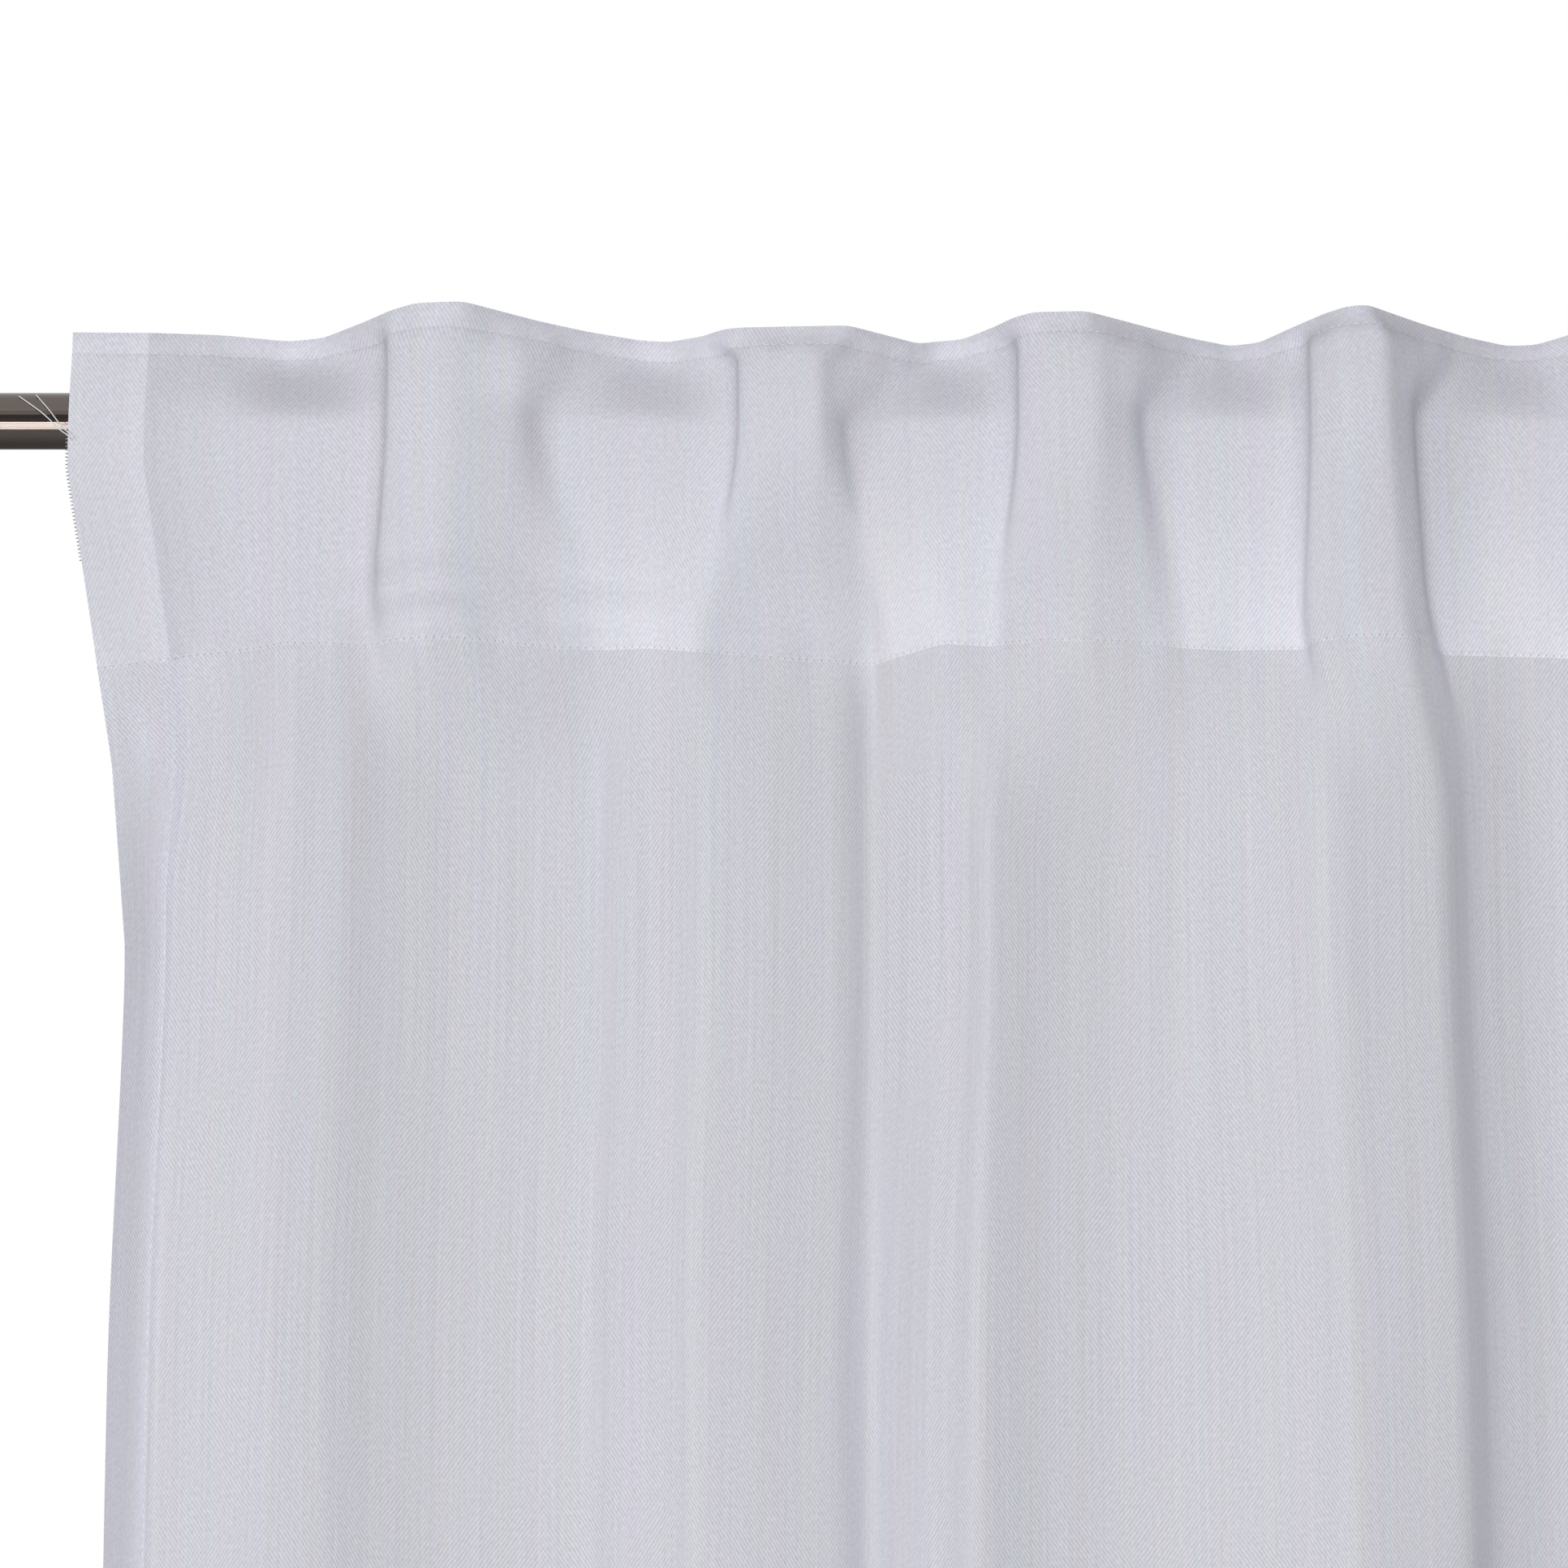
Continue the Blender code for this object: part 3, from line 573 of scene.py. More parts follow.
def round_line(line, width):
    """The line with its corners rounded, and the length along it of each given point."""
    lengths = np.concatenate(([0.0], np.cumsum(np.hypot(*np.diff(line[:, :2], axis=0).T))))
    fine = np.linspace(0.0, lengths[-1], int(lengths[-1] / FINE_STEP) + 1)
    dense = np.column_stack([np.interp(fine, lengths, values) for values in line.T])
    reach = int(3.0 * width / FINE_STEP)
    weights = np.exp(-0.5 * (np.arange(-reach, reach + 1) * FINE_STEP / width) ** 2)
    weights /= weights.sum()
    before = 2 * dense[0] - dense[reach:0:-1]
    after = 2 * dense[-1] - dense[-2:-reach - 2:-1]
    padded = np.vstack((before, dense, after))
    smooth = [np.convolve(values, weights, mode="valid") for values in padded.T]
    return fine, np.column_stack(smooth), lengths


def column_places(lengths, marks):
    """Lengths along the section where the columns go: close at the hems, even in the folds."""
    near = np.array(HEM_COLUMNS)
    stops = [lengths[mark] for mark in marks]
    places = list(near) + list(np.linspace(near[-1], stops[0], COLUMNS_BESIDE_HEM)[1:])
    for start, end in zip(stops[:-1], stops[1:]):
        places += list(np.linspace(start, end, COLUMNS_PER_FOLD + 1)[1:])
    end = lengths[-1]
    places += list(np.linspace(stops[-1], end - near[-1], COLUMNS_BESIDE_HEM)[1:])
    places += list(end - near[-2::-1])
    return np.array(places)


def section(z):
    """The columns of one row: x, y, z, painted light, painted shade and length along the row."""
    line, marks = control_line(z)
    fine, smooth, lengths = round_line(line, rounding(z))
    places = column_places(lengths, marks)
    x, out, sag, shine, shade = (np.interp(places, fine, values) for values in smooth.T)
    return np.column_stack((PANEL_LEFT + x, -out, z - sag, shine, shade, places))


Run = namedtuple("Run", "bottom step")
RUNS = (Run(TOP_SEAM, 0.0016), Run(-0.008, 0.0027), Run(HEADING_SEAM, 0.0023),
        Run(-0.150, 0.0052), Run(-0.400, 0.0125), Run(-1.000, 0.0400), Run(HEM_SEAM, 0.0670),
        Run(BOTTOM_EDGE, 0.0200))
levels = [TOP_EDGE]
for run in RUNS:
    steps = max(1, round((levels[-1] - run.bottom) / run.step))
    levels += list(np.linspace(levels[-1], run.bottom, steps + 1)[1:])
levels = np.array(levels)
rows = np.array([section(z) for z in levels])
front = rows[:, :, :3]
shine = rows[:, :, 3]
shade = rows[:, :, 4]
lengths = rows[:, :, 5].mean(axis=0)
cloth_u = lengths / lengths[-1] * FLAT_WIDTH
cloth_v = TOP_EDGE - levels
print(f"cloth grid {front.shape[0]} x {front.shape[1]}, row lengths "
      f"{rows[:, -1, 5].min():.3f} to {rows[:, -1, 5].max():.3f} m")

# %% [markdown]
# ## Small creases
# Real cloth is never as smooth as a rounded line. Sewing draws it in a little, so both seams of
# the heading are slightly rippled, and the handling of the panel has left a few shallow creases.
# A handful of small waves and dents, moved along the surface's normal, is enough at this scale.

# %% Ripples and dents
Ripple = namedtuple("Ripple", "level reach pitch height phase")
RIPPLES = (
    Ripple(TOP_SEAM, 0.0045, 0.0155, 0.00030, 0.0),
    Ripple(TOP_SEAM, 0.0060, 0.0370, 0.00025, 1.3),
    Ripple(HEADING_SEAM, 0.0075, 0.0190, 0.00022, 0.6),
    Ripple(HEADING_SEAM, 0.0120, 0.0470, 0.00035, 2.4),
    Ripple(HEM_SEAM, 0.0200, 0.0260, 0.00030, 0.2),
)
Dent = namedtuple("Dent", "x z reach_x reach_z slant height")
DENTS = (
    Dent(118, -56, 26, 2.4, 0.02, 0.30),
    Dent(124, -63, 30, 2.4, 0.03, -0.40),
    Dent(124, -70, 26, 2.4, 0.05, 0.62),
    Dent(128, -76, 22, 2.2, 0.02, -0.62),
    Dent(126, -82, 20, 2.0, 0.02, 0.55),
    Dent(186, -61, 22, 2.4, -0.04, 0.50),
    Dent(188, -69, 24, 2.4, -0.03, -0.60),
    Dent(184, -77, 20, 2.4, 0.02, 0.60),
    Dent(13, -80, 5, 1.6, -0.75, -0.60),
    Dent(16, -84, 6, 1.8, -0.70, 0.55),
    Dent(27, -118, 3.2, 12, 0.9, 0.9),
    Dent(243, -84, 20, 1.8, 0.02, 0.55),
    Dent(330, -66, 16, 2.2, 0.05, -0.35),
    Dent(446, -62, 10, 2.2, 0.05, 0.35),
)


def unit(vectors):
    """The same vectors with length 1."""
    return vectors / np.linalg.norm(vectors, axis=-1, keepdims=True)


def back_normals(grid):
    """Unit normals of the grid that point to the back of the cloth."""
    return unit(np.cross(np.gradient(grid, axis=1), np.gradient(grid, axis=0)))


def crease_heights(grid):
    """How far each point stands out because of the ripples and dents."""
    heights = np.zeros(grid.shape[:2])
    for ripple in RIPPLES:
        near = np.exp(-(((levels - ripple.level) / ripple.reach) ** 2))
        wave = np.sin(2 * math.pi * cloth_u / ripple.pitch + ripple.phase)
        heights += ripple.height * np.outer(near, wave)
    for dent in DENTS:
        x = (grid[:, :, 0] - PANEL_LEFT) / MM - dent.x
        z = grid[:, :, 2] / MM - dent.z - dent.slant * x
        heights += dent.height * MM * np.exp(-((x / dent.reach_x) ** 2) - (z / dent.reach_z) ** 2)
    return heights[:, :, None]


creases = crease_heights(front)
front = front - back_normals(front) * creases
behind = back_normals(front)
print(f"creases up to {abs(creases).max() / MM:.2f} mm")

# %% [markdown]
# ## The panel as one sheet
# The panel is a single length of voile, with its hems turned to the back: the sides, the top
# under the tape, and a deep hem at the foot. Separate strips would be easier, but then every
# hem would be a loose piece. The grid is rather continued past its edges and folded back on
# itself, a little further behind, as the real cloth is. Each point keeps its place in the flat
# cloth as its UV, in metres, so the threads run on round the turned edge.

# %% Fold the hems back
SHEET_DEPTH = 0.0003
SIDE_TURN_DEPTH = 0.00035
LONG_TURN_DEPTH = 0.00040
TINY = 1e-6


def turned(count, low, high):
    """Indices of a row that turns back at both ends, and which of them are turned."""
    index = np.concatenate((np.arange(low, 0, -1), np.arange(count),
                            np.arange(count - 2, count - 2 - high, -1)))
    flap = np.zeros(len(index))
    flap[:low] = 1
    if high:
        flap[-high:] = 1
    return index, flap


def unfolded(values, index, low, high):
    """Flat-cloth coordinates of the turned grid, which run on past the edges."""
    flat = values[index].copy()
    flat[:low] = 2 * values[0] - flat[:low]
    if high:
        flat[-high:] = 2 * values[-1] - flat[-high:]
    return flat


def grid_object(name, points, flat_u, flat_v, material, **values):
    """A sheet from a grid of points, with UVs in metres and values for the material."""
    rows_count, columns_count, _ = points.shape
    index = np.arange(rows_count * columns_count).reshape(rows_count, columns_count)
    faces = np.stack((index[:-1, :-1], index[1:, :-1], index[1:, 1:], index[:-1, 1:]), axis=-1)
    mesh = bpy.data.meshes.new(name)
    mesh.from_pydata(points.reshape(-1, 3).tolist(), [], faces.reshape(-1, 4).tolist())
    flat = np.stack(np.meshgrid(flat_u, flat_v), axis=-1).reshape(-1, 2)
    corners = np.empty(len(mesh.loops), dtype=np.int32)
    mesh.loops.foreach_get("vertex_index", corners)
    layer = mesh.uv_layers.new(name="cloth")
    layer.uv.foreach_set("vector", flat[corners].astype(np.float32).ravel())
    for label, array in values.items():
        attribute = mesh.attributes.new(label, "FLOAT", "POINT")
        attribute.data.foreach_set("value", array.astype(np.float32).ravel())
    mesh.shade_smooth()
    mesh.materials.append(material)
    thing = bpy.data.objects.new(name, mesh)
    bpy.context.scene.collection.objects.link(thing)
    return thing


top_rows = int(np.searchsorted(cloth_v, TOP_TURNING))
hem_rows = int(np.sum(cloth_v > DROP - BOTTOM_HEM + TINY))
hem_columns = int(np.sum(cloth_u < SIDE_HEM * FLAT_WIDTH / lengths[-1]))
row_index, row_flap = turned(len(levels), top_rows, hem_rows)
column_index, column_flap = turned(len(cloth_u), hem_columns, hem_columns)
depth = (SHEET_DEPTH + SIDE_TURN_DEPTH * column_flap[None, :]
         + LONG_TURN_DEPTH * row_flap[:, None])[:, :, None]
panel_points = front[np.ix_(row_index, column_index)]
panel_points = panel_points + behind[np.ix_(row_index, column_index)] * depth
panel_u = unfolded(cloth_u, column_index, hem_columns, hem_columns)
panel_v = unfolded(cloth_v, row_index, top_rows, hem_rows)
panel_shine = shine[np.ix_(row_index, column_index)]
panel_shade = shade[np.ix_(row_index, column_index)]
panel_crease = creases[np.ix_(row_index, column_index)][:, :, 0] / MM
print(f"sheet {panel_points.shape[0]} x {panel_points.shape[1]}, "
      f"cut {panel_u[-1] - panel_u[0]:.3f} x {panel_v[-1] - panel_v[0]:.3f} m")

# %% [markdown]
# ## The voile
# Voile is a plain weave of fine, loosely set threads. In the photo it shows as a faint lattice
# that leans one way here and the other way there, with soft vertical streaks where the warp
# threads are uneven. It is white with a touch of blue, and a little light passes through it.
# Where the cloth lies double, in the hems and the heading, it looks denser and whiter. So the
# colour follows the number of layers, and a Mix Shader lets part of the light through. Light and
# shade are also painted into the colour: painted light on the flat panels over the loops,
# strongest near the seam, the rod's painted shadow as a soft dark patch on those panels, a
# painted highlight along each crease's crest, a painted highlight and a painted shadow beside the
# side hem, and painted light and shade at the top seam. Each of these zones is made of one or
# two soft edges on the flat cloth, and a table says how much lighter each of them is.

# %% Cloth colours and zones
BODY_COLOUR = (0.700, 0.700, 0.765, 1.0)
HEADING_COLOUR = (0.765, 0.765, 0.830, 1.0)
# The colour that the loop panels are painted towards, as painted light.
PANEL_PAINTED_LIGHT_COLOUR = (0.880, 0.880, 0.945, 1.0)
PAINTED_LIGHT_AT_PANEL_TOP = 0.08
Edge = namedtuple("Edge", "middle width")
HEADING_END = Edge(HEADING_DEPTH + 0.0002, 0.0006)
SIDE_HEM_EDGE = Edge(SIDE_HEM, 0.0006)
FOOT_HEM_EDGE = Edge(DROP - BOTTOM_HEM, 0.0006)
PAINTED_LIGHT_GROWS = Edge(0.078, 0.084)
# The rows where the rod's painted shadow lies.
PAINTED_ROD_SHADOW_BAND = (Edge(0.013, 0.012), Edge(0.0315, 0.0130))
PAINTED_LIGHT_ABOVE_TOP_SEAM = (Edge(0.0025, 0.003), Edge(0.0078, 0.0008))
PAINTED_SHADE_UNDER_TOP_SEAM = (Edge(0.0078, 0.0008), Edge(0.0092, 0.0014))
HEM_PAINTED_HIGHLIGHT = (Edge(0.0292, 0.0016), Edge(0.0335, 0.0030))
HEM_LIGHTENS = Edge(0.019, 0.020)
PAINTED_SHADOW_BESIDE_HEM_ENDS = Edge(0.047, 0.034)
HANGS_FREE = Edge(0.190, 0.120)


def beyond(value, edge):
    """0 before the edge and 1 beyond it, with a soft step."""
    start = edge.middle - edge.width / 2
    inputs = {"Value": value, "From Min": start, "From Max": start + edge.width}
    return value.graph.node("ShaderNodeMapRange", inputs, interpolation_type="SMOOTHSTEP")


def within(value, edges):
    """1 between two edges and 0 outside them."""
    return beyond(value, edges[0]) * (1.0 - beyond(value, edges[1]))


def cloth_place(graph):
    """The place in the flat cloth, as across and down in metres."""
    flat = graph.node("ShaderNodeUVMap", uv_map="cloth")
    across, down, _ = graph.split(flat)
    return flat, across, down


def carried(graph, label):
    """A value that the sheet's points carry."""
    made = graph.node("ShaderNodeAttribute", attribute_name=label).socket.node
    return Wire(graph, made.outputs["Fac"])


voile, cloth, voile_shader = new_material("voile", roughness=0.85, sheen_weight=0.10)
flat, across, down = cloth_place(cloth)
# Painted light and painted shade that the sheet's points carry.
shine_there = carried(cloth, "shine")
shade_there = carried(cloth, "shade")
crease_painted_highlight = carried(cloth, "crease")
below = beyond(down, HEADING_END)
in_heading = 1.0 - below
from_edge = cloth.node("ShaderNodeMath", {0: abs(across), 1: abs(FLAT_WIDTH - across)},
                       operation="MINIMUM")
side_hem = 1.0 - beyond(from_edge, SIDE_HEM_EDGE)
painted_shadow_beside_hem = (1.0 - beyond(from_edge, PAINTED_SHADOW_BESIDE_HEM_ENDS)) * in_heading * (1.0 - side_hem)
# How much lighter each zone is: the hems' extra layers, and painted light and painted shade.
LAYERS_AND_PAINTED_LIGHT = (
    (side_hem, 0.030),
    (side_hem * below, 0.030),
    (side_hem * beyond(down, HANGS_FREE), 0.110),
    (side_hem * beyond(from_edge, HEM_LIGHTENS) * in_heading, 0.035),
    # Painted highlight along the side hem's inner edge, below the heading.
    (within(from_edge, HEM_PAINTED_HIGHLIGHT) * below, 0.070),
    # Painted shadow beside the side hem's inner edge, in the heading.
    (painted_shadow_beside_hem, -0.065),
    (beyond(down, FOOT_HEM_EDGE), 0.080),
    # Painted shadow of the rod on the loop panels, and painted light on the falls beyond the
    # crests.
    (shade_there * within(down, PAINTED_ROD_SHADOW_BAND), -0.160),
    # Painted highlight along each crease's crest.
    (crease_painted_highlight, 0.060),
    # Painted light on the strip between the top edge and the top seam.
    (within(down, PAINTED_LIGHT_ABOVE_TOP_SEAM), 0.045),
    # Painted shade in a thin band under the top seam.
    (within(down, PAINTED_SHADE_UNDER_TOP_SEAM), -0.030),
)
lightness = 1.0
for zone, strength in LAYERS_AND_PAINTED_LIGHT:
    lightness = lightness + zone * strength
# Painted light on the loop panels, weak at the top and full towards the heading's seam.
lower = beyond(down, PAINTED_LIGHT_GROWS)
painted_light_share = PAINTED_LIGHT_AT_PANEL_TOP + lower * (1.0 - PAINTED_LIGHT_AT_PANEL_TOP)
base = cloth.mix(in_heading, BODY_COLOUR, HEADING_COLOUR)
base = cloth.mix(shine_there * in_heading * painted_light_share, base, PANEL_PAINTED_LIGHT_COLOUR)
print(f"voile coloured in {len(LAYERS_AND_PAINTED_LIGHT)} zones")

# %% [markdown]
# The weave itself is four patterns over each other: the slanting lattice, a fine grain, and
# uneven warp threads in two widths. Each of them changes the tone a little up and down, and all
# but the grain are weaker in the heading, where the tape behind makes the cloth look denser.

# %% The weave
LATTICE_ACROSS = 0.00158
LATTICE_DOWN = 0.00212
LATTICE_WOBBLE = 5.0
WOBBLES_PER_METRE = 90.0
LEANS_PER_METRE = 16.0
LEAN_CHANGES = Edge(0.5, 0.12)
Pattern = namedtuple("Pattern", "strength heading_share")
LATTICE = Pattern(0.115, 0.75)
GRAIN = Pattern(0.360, 1.0)
STREAK = Pattern(0.070, 0.25)
WARP_THREAD = Pattern(0.210, 0.40)
TINT_SHARE = 0.05


def lattice(graph, flat, across, down):
    """The weave's lattice, which changes its lean from place to place."""
    first = across * (2 * math.pi / LATTICE_ACROSS)
    second = down * (2 * math.pi / LATTICE_DOWN)
    wobble = graph.noise(flat * WOBBLES_PER_METRE, 1.0) * LATTICE_WOBBLE
    rising = (first + second + wobble).calculate("COSINE", first + second + wobble)
    falling = (first - second + wobble).calculate("COSINE", first - second + wobble)
    lean = beyond(graph.noise(flat * LEANS_PER_METRE, 1.0, detail=1.0), LEAN_CHANGES)
    return rising * lean + falling * (1.0 - lean)


def uneven(across_scale, down_scale, layer=0.0, **finish):
    """Noise round 0 that is drawn out across or down the cloth."""
    place = cloth.vector(across * across_scale, down * down_scale, layer)
    return cloth.noise(place, 1.0, **finish) - 0.5


def share_of(pattern, field):
    """What a pattern adds: its full strength in the body, and a share of it in the heading."""
    there = pattern.heading_share + below * (1.0 - pattern.heading_share)
    return field * there * pattern.strength


weave = lattice(cloth, flat, across, down)
grain = uneven(620.0, 620.0, detail=3.0)
streak = uneven(330.0, 5.0, detail=3.0, roughness=0.7)
warp_thread = uneven(950.0, 7.0, layer=3.0, detail=2.0)
pattern = 1.0 + share_of(LATTICE, weave) + share_of(GRAIN, grain)
pattern = pattern + share_of(STREAK, streak) + share_of(WARP_THREAD, warp_thread)
tint_place = cloth.vector(across * 260.0, down * 3.0, 7.0)
tint = cloth.node("ShaderNodeTexNoise", {"Vector": tint_place, "Scale": 1.0}, output=1)
tinted = cloth.mix(TINT_SHARE, (1.0, 1.0, 1.0, 1.0), tint * 2.0)
brightness = lightness * pattern
colour = base * tinted * cloth.vector(brightness, brightness, brightness)
print("weave laid over the voile")

# %% [markdown]
# The stitches of the heading pull the cloth down in small pinholes, which show as dark dots below
# the seam. They are part of the cloth, so they are drawn in its material, in step with the
# stitches that come later. The weave also lifts the surface very slightly, as bump.

# %% Pinholes, bump and light through the cloth
STITCH_PITCH = 0.0031
TOP_SEAM_DEPTH = TOP_EDGE - TOP_SEAM
BOTTOM_SEAM_DEPTH = HEADING_DEPTH - 0.0012
Holes = namedtuple("Holes", "depth_down radius share")
PINHOLES = (Holes(BOTTOM_SEAM_DEPTH + 0.0007, 0.00042, 1.0),
            Holes(TOP_SEAM_DEPTH + 0.0004, 0.00030, 0.5))
HOLE_DARKNESS = 0.22
WEAVE_HEIGHT = 0.5
GRAIN_HEIGHT = 0.8
HOLE_DEPTH = 2.0
SINGLE_ALPHA = 0.95
DOUBLE_ALPHA = 0.99
LIGHT_THROUGH = 0.25


def pinholes(graph, across, down, row):
    """Small dots along a seam, one between every two stitches."""
    turns = across / STITCH_PITCH
    beside = (turns - turns.calculate("ROUND", turns)) * STITCH_PITCH
    above = down - row.depth_down
    distance = graph.node("ShaderNodeMath", {0: beside * beside + above * above},
                          operation="SQRT")
    return (1.0 - beyond(distance, Edge(row.radius, row.radius * 0.8))) * row.share


holes = pinholes(cloth, across, down, PINHOLES[0]) + pinholes(cloth, across, down, PINHOLES[1])
hole_shade = 1.0 - holes * HOLE_DARKNESS
colour = colour * cloth.vector(hole_shade, hole_shade, hole_shade)
height = weave * WEAVE_HEIGHT + grain * GRAIN_HEIGHT - holes * HOLE_DEPTH
dense = cloth.node("ShaderNodeMath", {0: in_heading, 1: side_hem}, operation="MAXIMUM")
feed(voile_shader, base_color=colour, normal=cloth.bump(height, 0.35, 0.00012),
     roughness=0.86 + grain * 0.12, alpha=SINGLE_ALPHA + dense * (DOUBLE_ALPHA - SINGLE_ALPHA))
through = cloth.node("ShaderNodeBsdfTranslucent", {"Color": colour})
both = cloth.node("ShaderNodeMixShader", {0: LIGHT_THROUGH, 1: Wire(cloth, voile_shader.outputs[0]),
                                          2: through})
voile.node_tree.links.new(both.socket, voile.node_tree.nodes["Material Output"].inputs[0])
print("voile nodes:", len(voile.node_tree.nodes))

# %% Make the panel
panel = grid_object("voile_panel", panel_points, panel_u, panel_v, voile, shine=panel_shine,
                    shade=panel_shade, crease=panel_crease)
panel.data.set_sharp_from_angle(angle=math.radians(60))
print("panel faces:", len(panel.data.polygons))

# %% [markdown]
# ## The heading tape
# Behind the top of the panel runs a wide woven tape, which stiffens the heading and carries the
# loops. It hugs the back of the cloth, so it is the same grid moved further behind, between the
# two seams of the heading. It is closer woven than the voile, with ribs along its length.

# %% Tape
TAPE_DEPTH = 0.00165
TAPE_THICKNESS = 0.0005
TAPE_COLOUR = (0.80, 0.80, 0.84)
RIB_PITCH = 0.0030
WARP_PITCH = 0.0016
tape_cloth, weft, tape_shader = new_material("heading_tape", roughness=0.80, sheen_weight=0.2)
flat, across, down = cloth_place(weft)
ribs = down.wave(RIB_PITCH)
warp = across.wave(WARP_PITCH)
fibre = weft.noise(flat * 900.0, 1.0, detail=3.0)
mottled = 0.95 + ribs * 0.018 + warp * 0.014 + fibre * 0.10
tape_colour = weft.vector(mottled, mottled, mottled) * TAPE_COLOUR
feed(tape_shader, base_color=tape_colour, roughness=0.74 + fibre * 0.12,
     normal=weft.bump(ribs + warp + fibre, 0.5, 0.00015))
taped = np.where((levels <= TOP_SEAM + TINY) & (levels >= HEADING_SEAM - TINY))[0]
tape_points = front[taped] + behind[taped] * TAPE_DEPTH
tape = grid_object("tape", tape_points, cloth_u, cloth_v[taped], tape_cloth)


def thicken(thing, thickness):
    """Give a sheet its thickness, to both sides."""
    solidify = thing.modifiers.new("thickness", "SOLIDIFY")
    solidify.thickness = thickness
    solidify.offset = 0.0


thicken(tape, TAPE_THICKNESS)
print(f"tape {len(taped)} rows, {(levels[taped[0]] - levels[taped[-1]]) / MM:.0f} mm deep")

# %% [markdown]
# ## The hidden loops
# Each loop is a short band, sewn to the tape above and below, that goes round the back of the
# rod. Its ends have to lie on the tape wherever the folds put it, so rays are cast on the tape at
# a few stations across the band, and the route between them follows the rod.

# %% Loops round the rod
ROD_RADIUS = 0.010
LOOP_WIDTH = 0.034
LOOP_THICKNESS = 0.0006
LOOP_LIFT = 0.0011
LOOP_OFF_ROD = 0.0009
LOOP_TOP_SEAM = 0.0185
LOOP_BOTTOM_SEAM = -0.030
LOOP_SEAM_LENGTH = 0.006
LOOP_ARC = np.radians(np.linspace(78, -52, 15))
LOOP_STATIONS = 13
tape_tree = BVHTree.FromPolygons([v.co for v in tape.data.vertices],
                                 [p.vertices[:] for p in tape.data.polygons])


def loop_route(x):
    """The loop's middle line at x, from its top seam round the rod to its bottom seam."""
    radius = ROD_RADIUS + LOOP_OFF_ROD

    def on_tape(z):
        hit, _, _, _ = tape_tree.ray_cast((x, 1.0, z), (0, -1, 0))
        return hit.y + LOOP_LIFT, z

    route = [on_tape(z) for z in np.linspace(LOOP_TOP_SEAM, LOOP_TOP_SEAM - LOOP_SEAM_LENGTH, 4)]
    route += [(radius * math.cos(turn), radius * math.sin(turn)) for turn in LOOP_ARC]
    route += [on_tape(z) for z in np.linspace(LOOP_BOTTOM_SEAM + LOOP_SEAM_LENGTH,
                                              LOOP_BOTTOM_SEAM, 4)]
    return np.array([(x, y, z) for y, z in route])


loop_names = sorted(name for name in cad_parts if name.startswith("loop_"))
loops = []
for name in loop_names:
    low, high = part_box(name)
    middle = (low[0] + high[0]) / 2
    stations = np.linspace(-LOOP_WIDTH / 2, LOOP_WIDTH / 2, LOOP_STATIONS)
    points = np.array([loop_route(middle + offset) for offset in stations]).transpose(1, 0, 2)
    steps = np.linalg.norm(np.diff(points.mean(axis=1), axis=0), axis=1)
    run = np.concatenate(([0.0], np.cumsum(steps)))
    band = grid_object(name.replace("loop", "band"), points, stations, run, tape_cloth)
    thicken(band, LOOP_THICKNESS)
    loops.append(band)

# %% [markdown]
# ## Sewing
# Stitches are the natural case for Geometry Nodes: one small shape repeated along a line. The
# tree takes the seam as a polyline whose points carry the cloth's outward direction. It sets a
# point every few millimetres, turns a flattened bead along the thread and up from the cloth,
# varies its length a little with a fixed seed, and makes the result real. The same tree serves
# every seam, because its sizes are inputs.

# %% The stitch tree
STITCH_INPUTS = (("Seam", "NodeSocketGeometry"), ("Pitch", "NodeSocketFloat"),
                 ("Along", "NodeSocketFloat"), ("Across", "NodeSocketFloat"),
                 ("High", "NodeSocketFloat"), ("Seed", "NodeSocketInt"),
                 ("Thread", "NodeSocketMaterial"))


def stitch_tree():
    """A Geometry Nodes tree that lays stitches along a seam."""
    tree = bpy.data.node_groups.new("stitch_row", "GeometryNodeTree")
    for label, kind in STITCH_INPUTS:
        tree.interface.new_socket(label, in_out="INPUT", socket_type=kind)
    tree.interface.new_socket("Stitches", in_out="OUTPUT", socket_type="NodeSocketGeometry")
    sewing = Graph(tree)
    given = {socket.name: Wire(sewing, socket)
             for socket in sewing.node("NodeGroupInput").socket.node.outputs}
    line = sewing.node("GeometryNodeMeshToCurve", {"Mesh": given["Seam"]})
    spots = sewing.node("GeometryNodeCurveToPoints",
                        {"Curve": line, "Length": given["Pitch"]}, mode="LENGTH")
    tangent = Wire(sewing, spots.socket.node.outputs["Tangent"])
    outward = sewing.node("GeometryNodeInputNamedAttribute", {"Name": "outward"},
                          data_type="FLOAT_VECTOR")
    turn = sewing.node("FunctionNodeAxesToRotation", {0: tangent, 1: outward},
                       primary_axis="X", secondary_axis="Z")
    bead = sewing.node("GeometryNodeMeshUVSphere", {"Segments": 6, "Rings": 4, "Radius": 0.5})
    size = sewing.vector(given["Along"], given["Across"], given["High"])
    bead = sewing.node("GeometryNodeTransform", {"Geometry": bead, "Scale": size})
    vary = sewing.node("FunctionNodeRandomValue",
                       {"Min": 0.82, "Max": 1.12, "Seed": given["Seed"]},
                       output="Value", data_type="FLOAT")
    placed = sewing.node("GeometryNodeInstanceOnPoints",
                         {"Points": spots, "Instance": bead, "Rotation": turn,
                          "Scale": sewing.vector(vary, 1.0, 1.0)})
    real = sewing.node("GeometryNodeRealizeInstances", {"Geometry": placed})
    done = sewing.node("GeometryNodeSetMaterial", {"Geometry": real, "Material": given["Thread"]})
    result = tree.nodes.new("NodeGroupOutput")
    tree.links.new(done.socket, result.inputs[0])
    return tree


stitches_tree = stitch_tree()
print("stitch tree:", len(stitches_tree.nodes), "nodes")

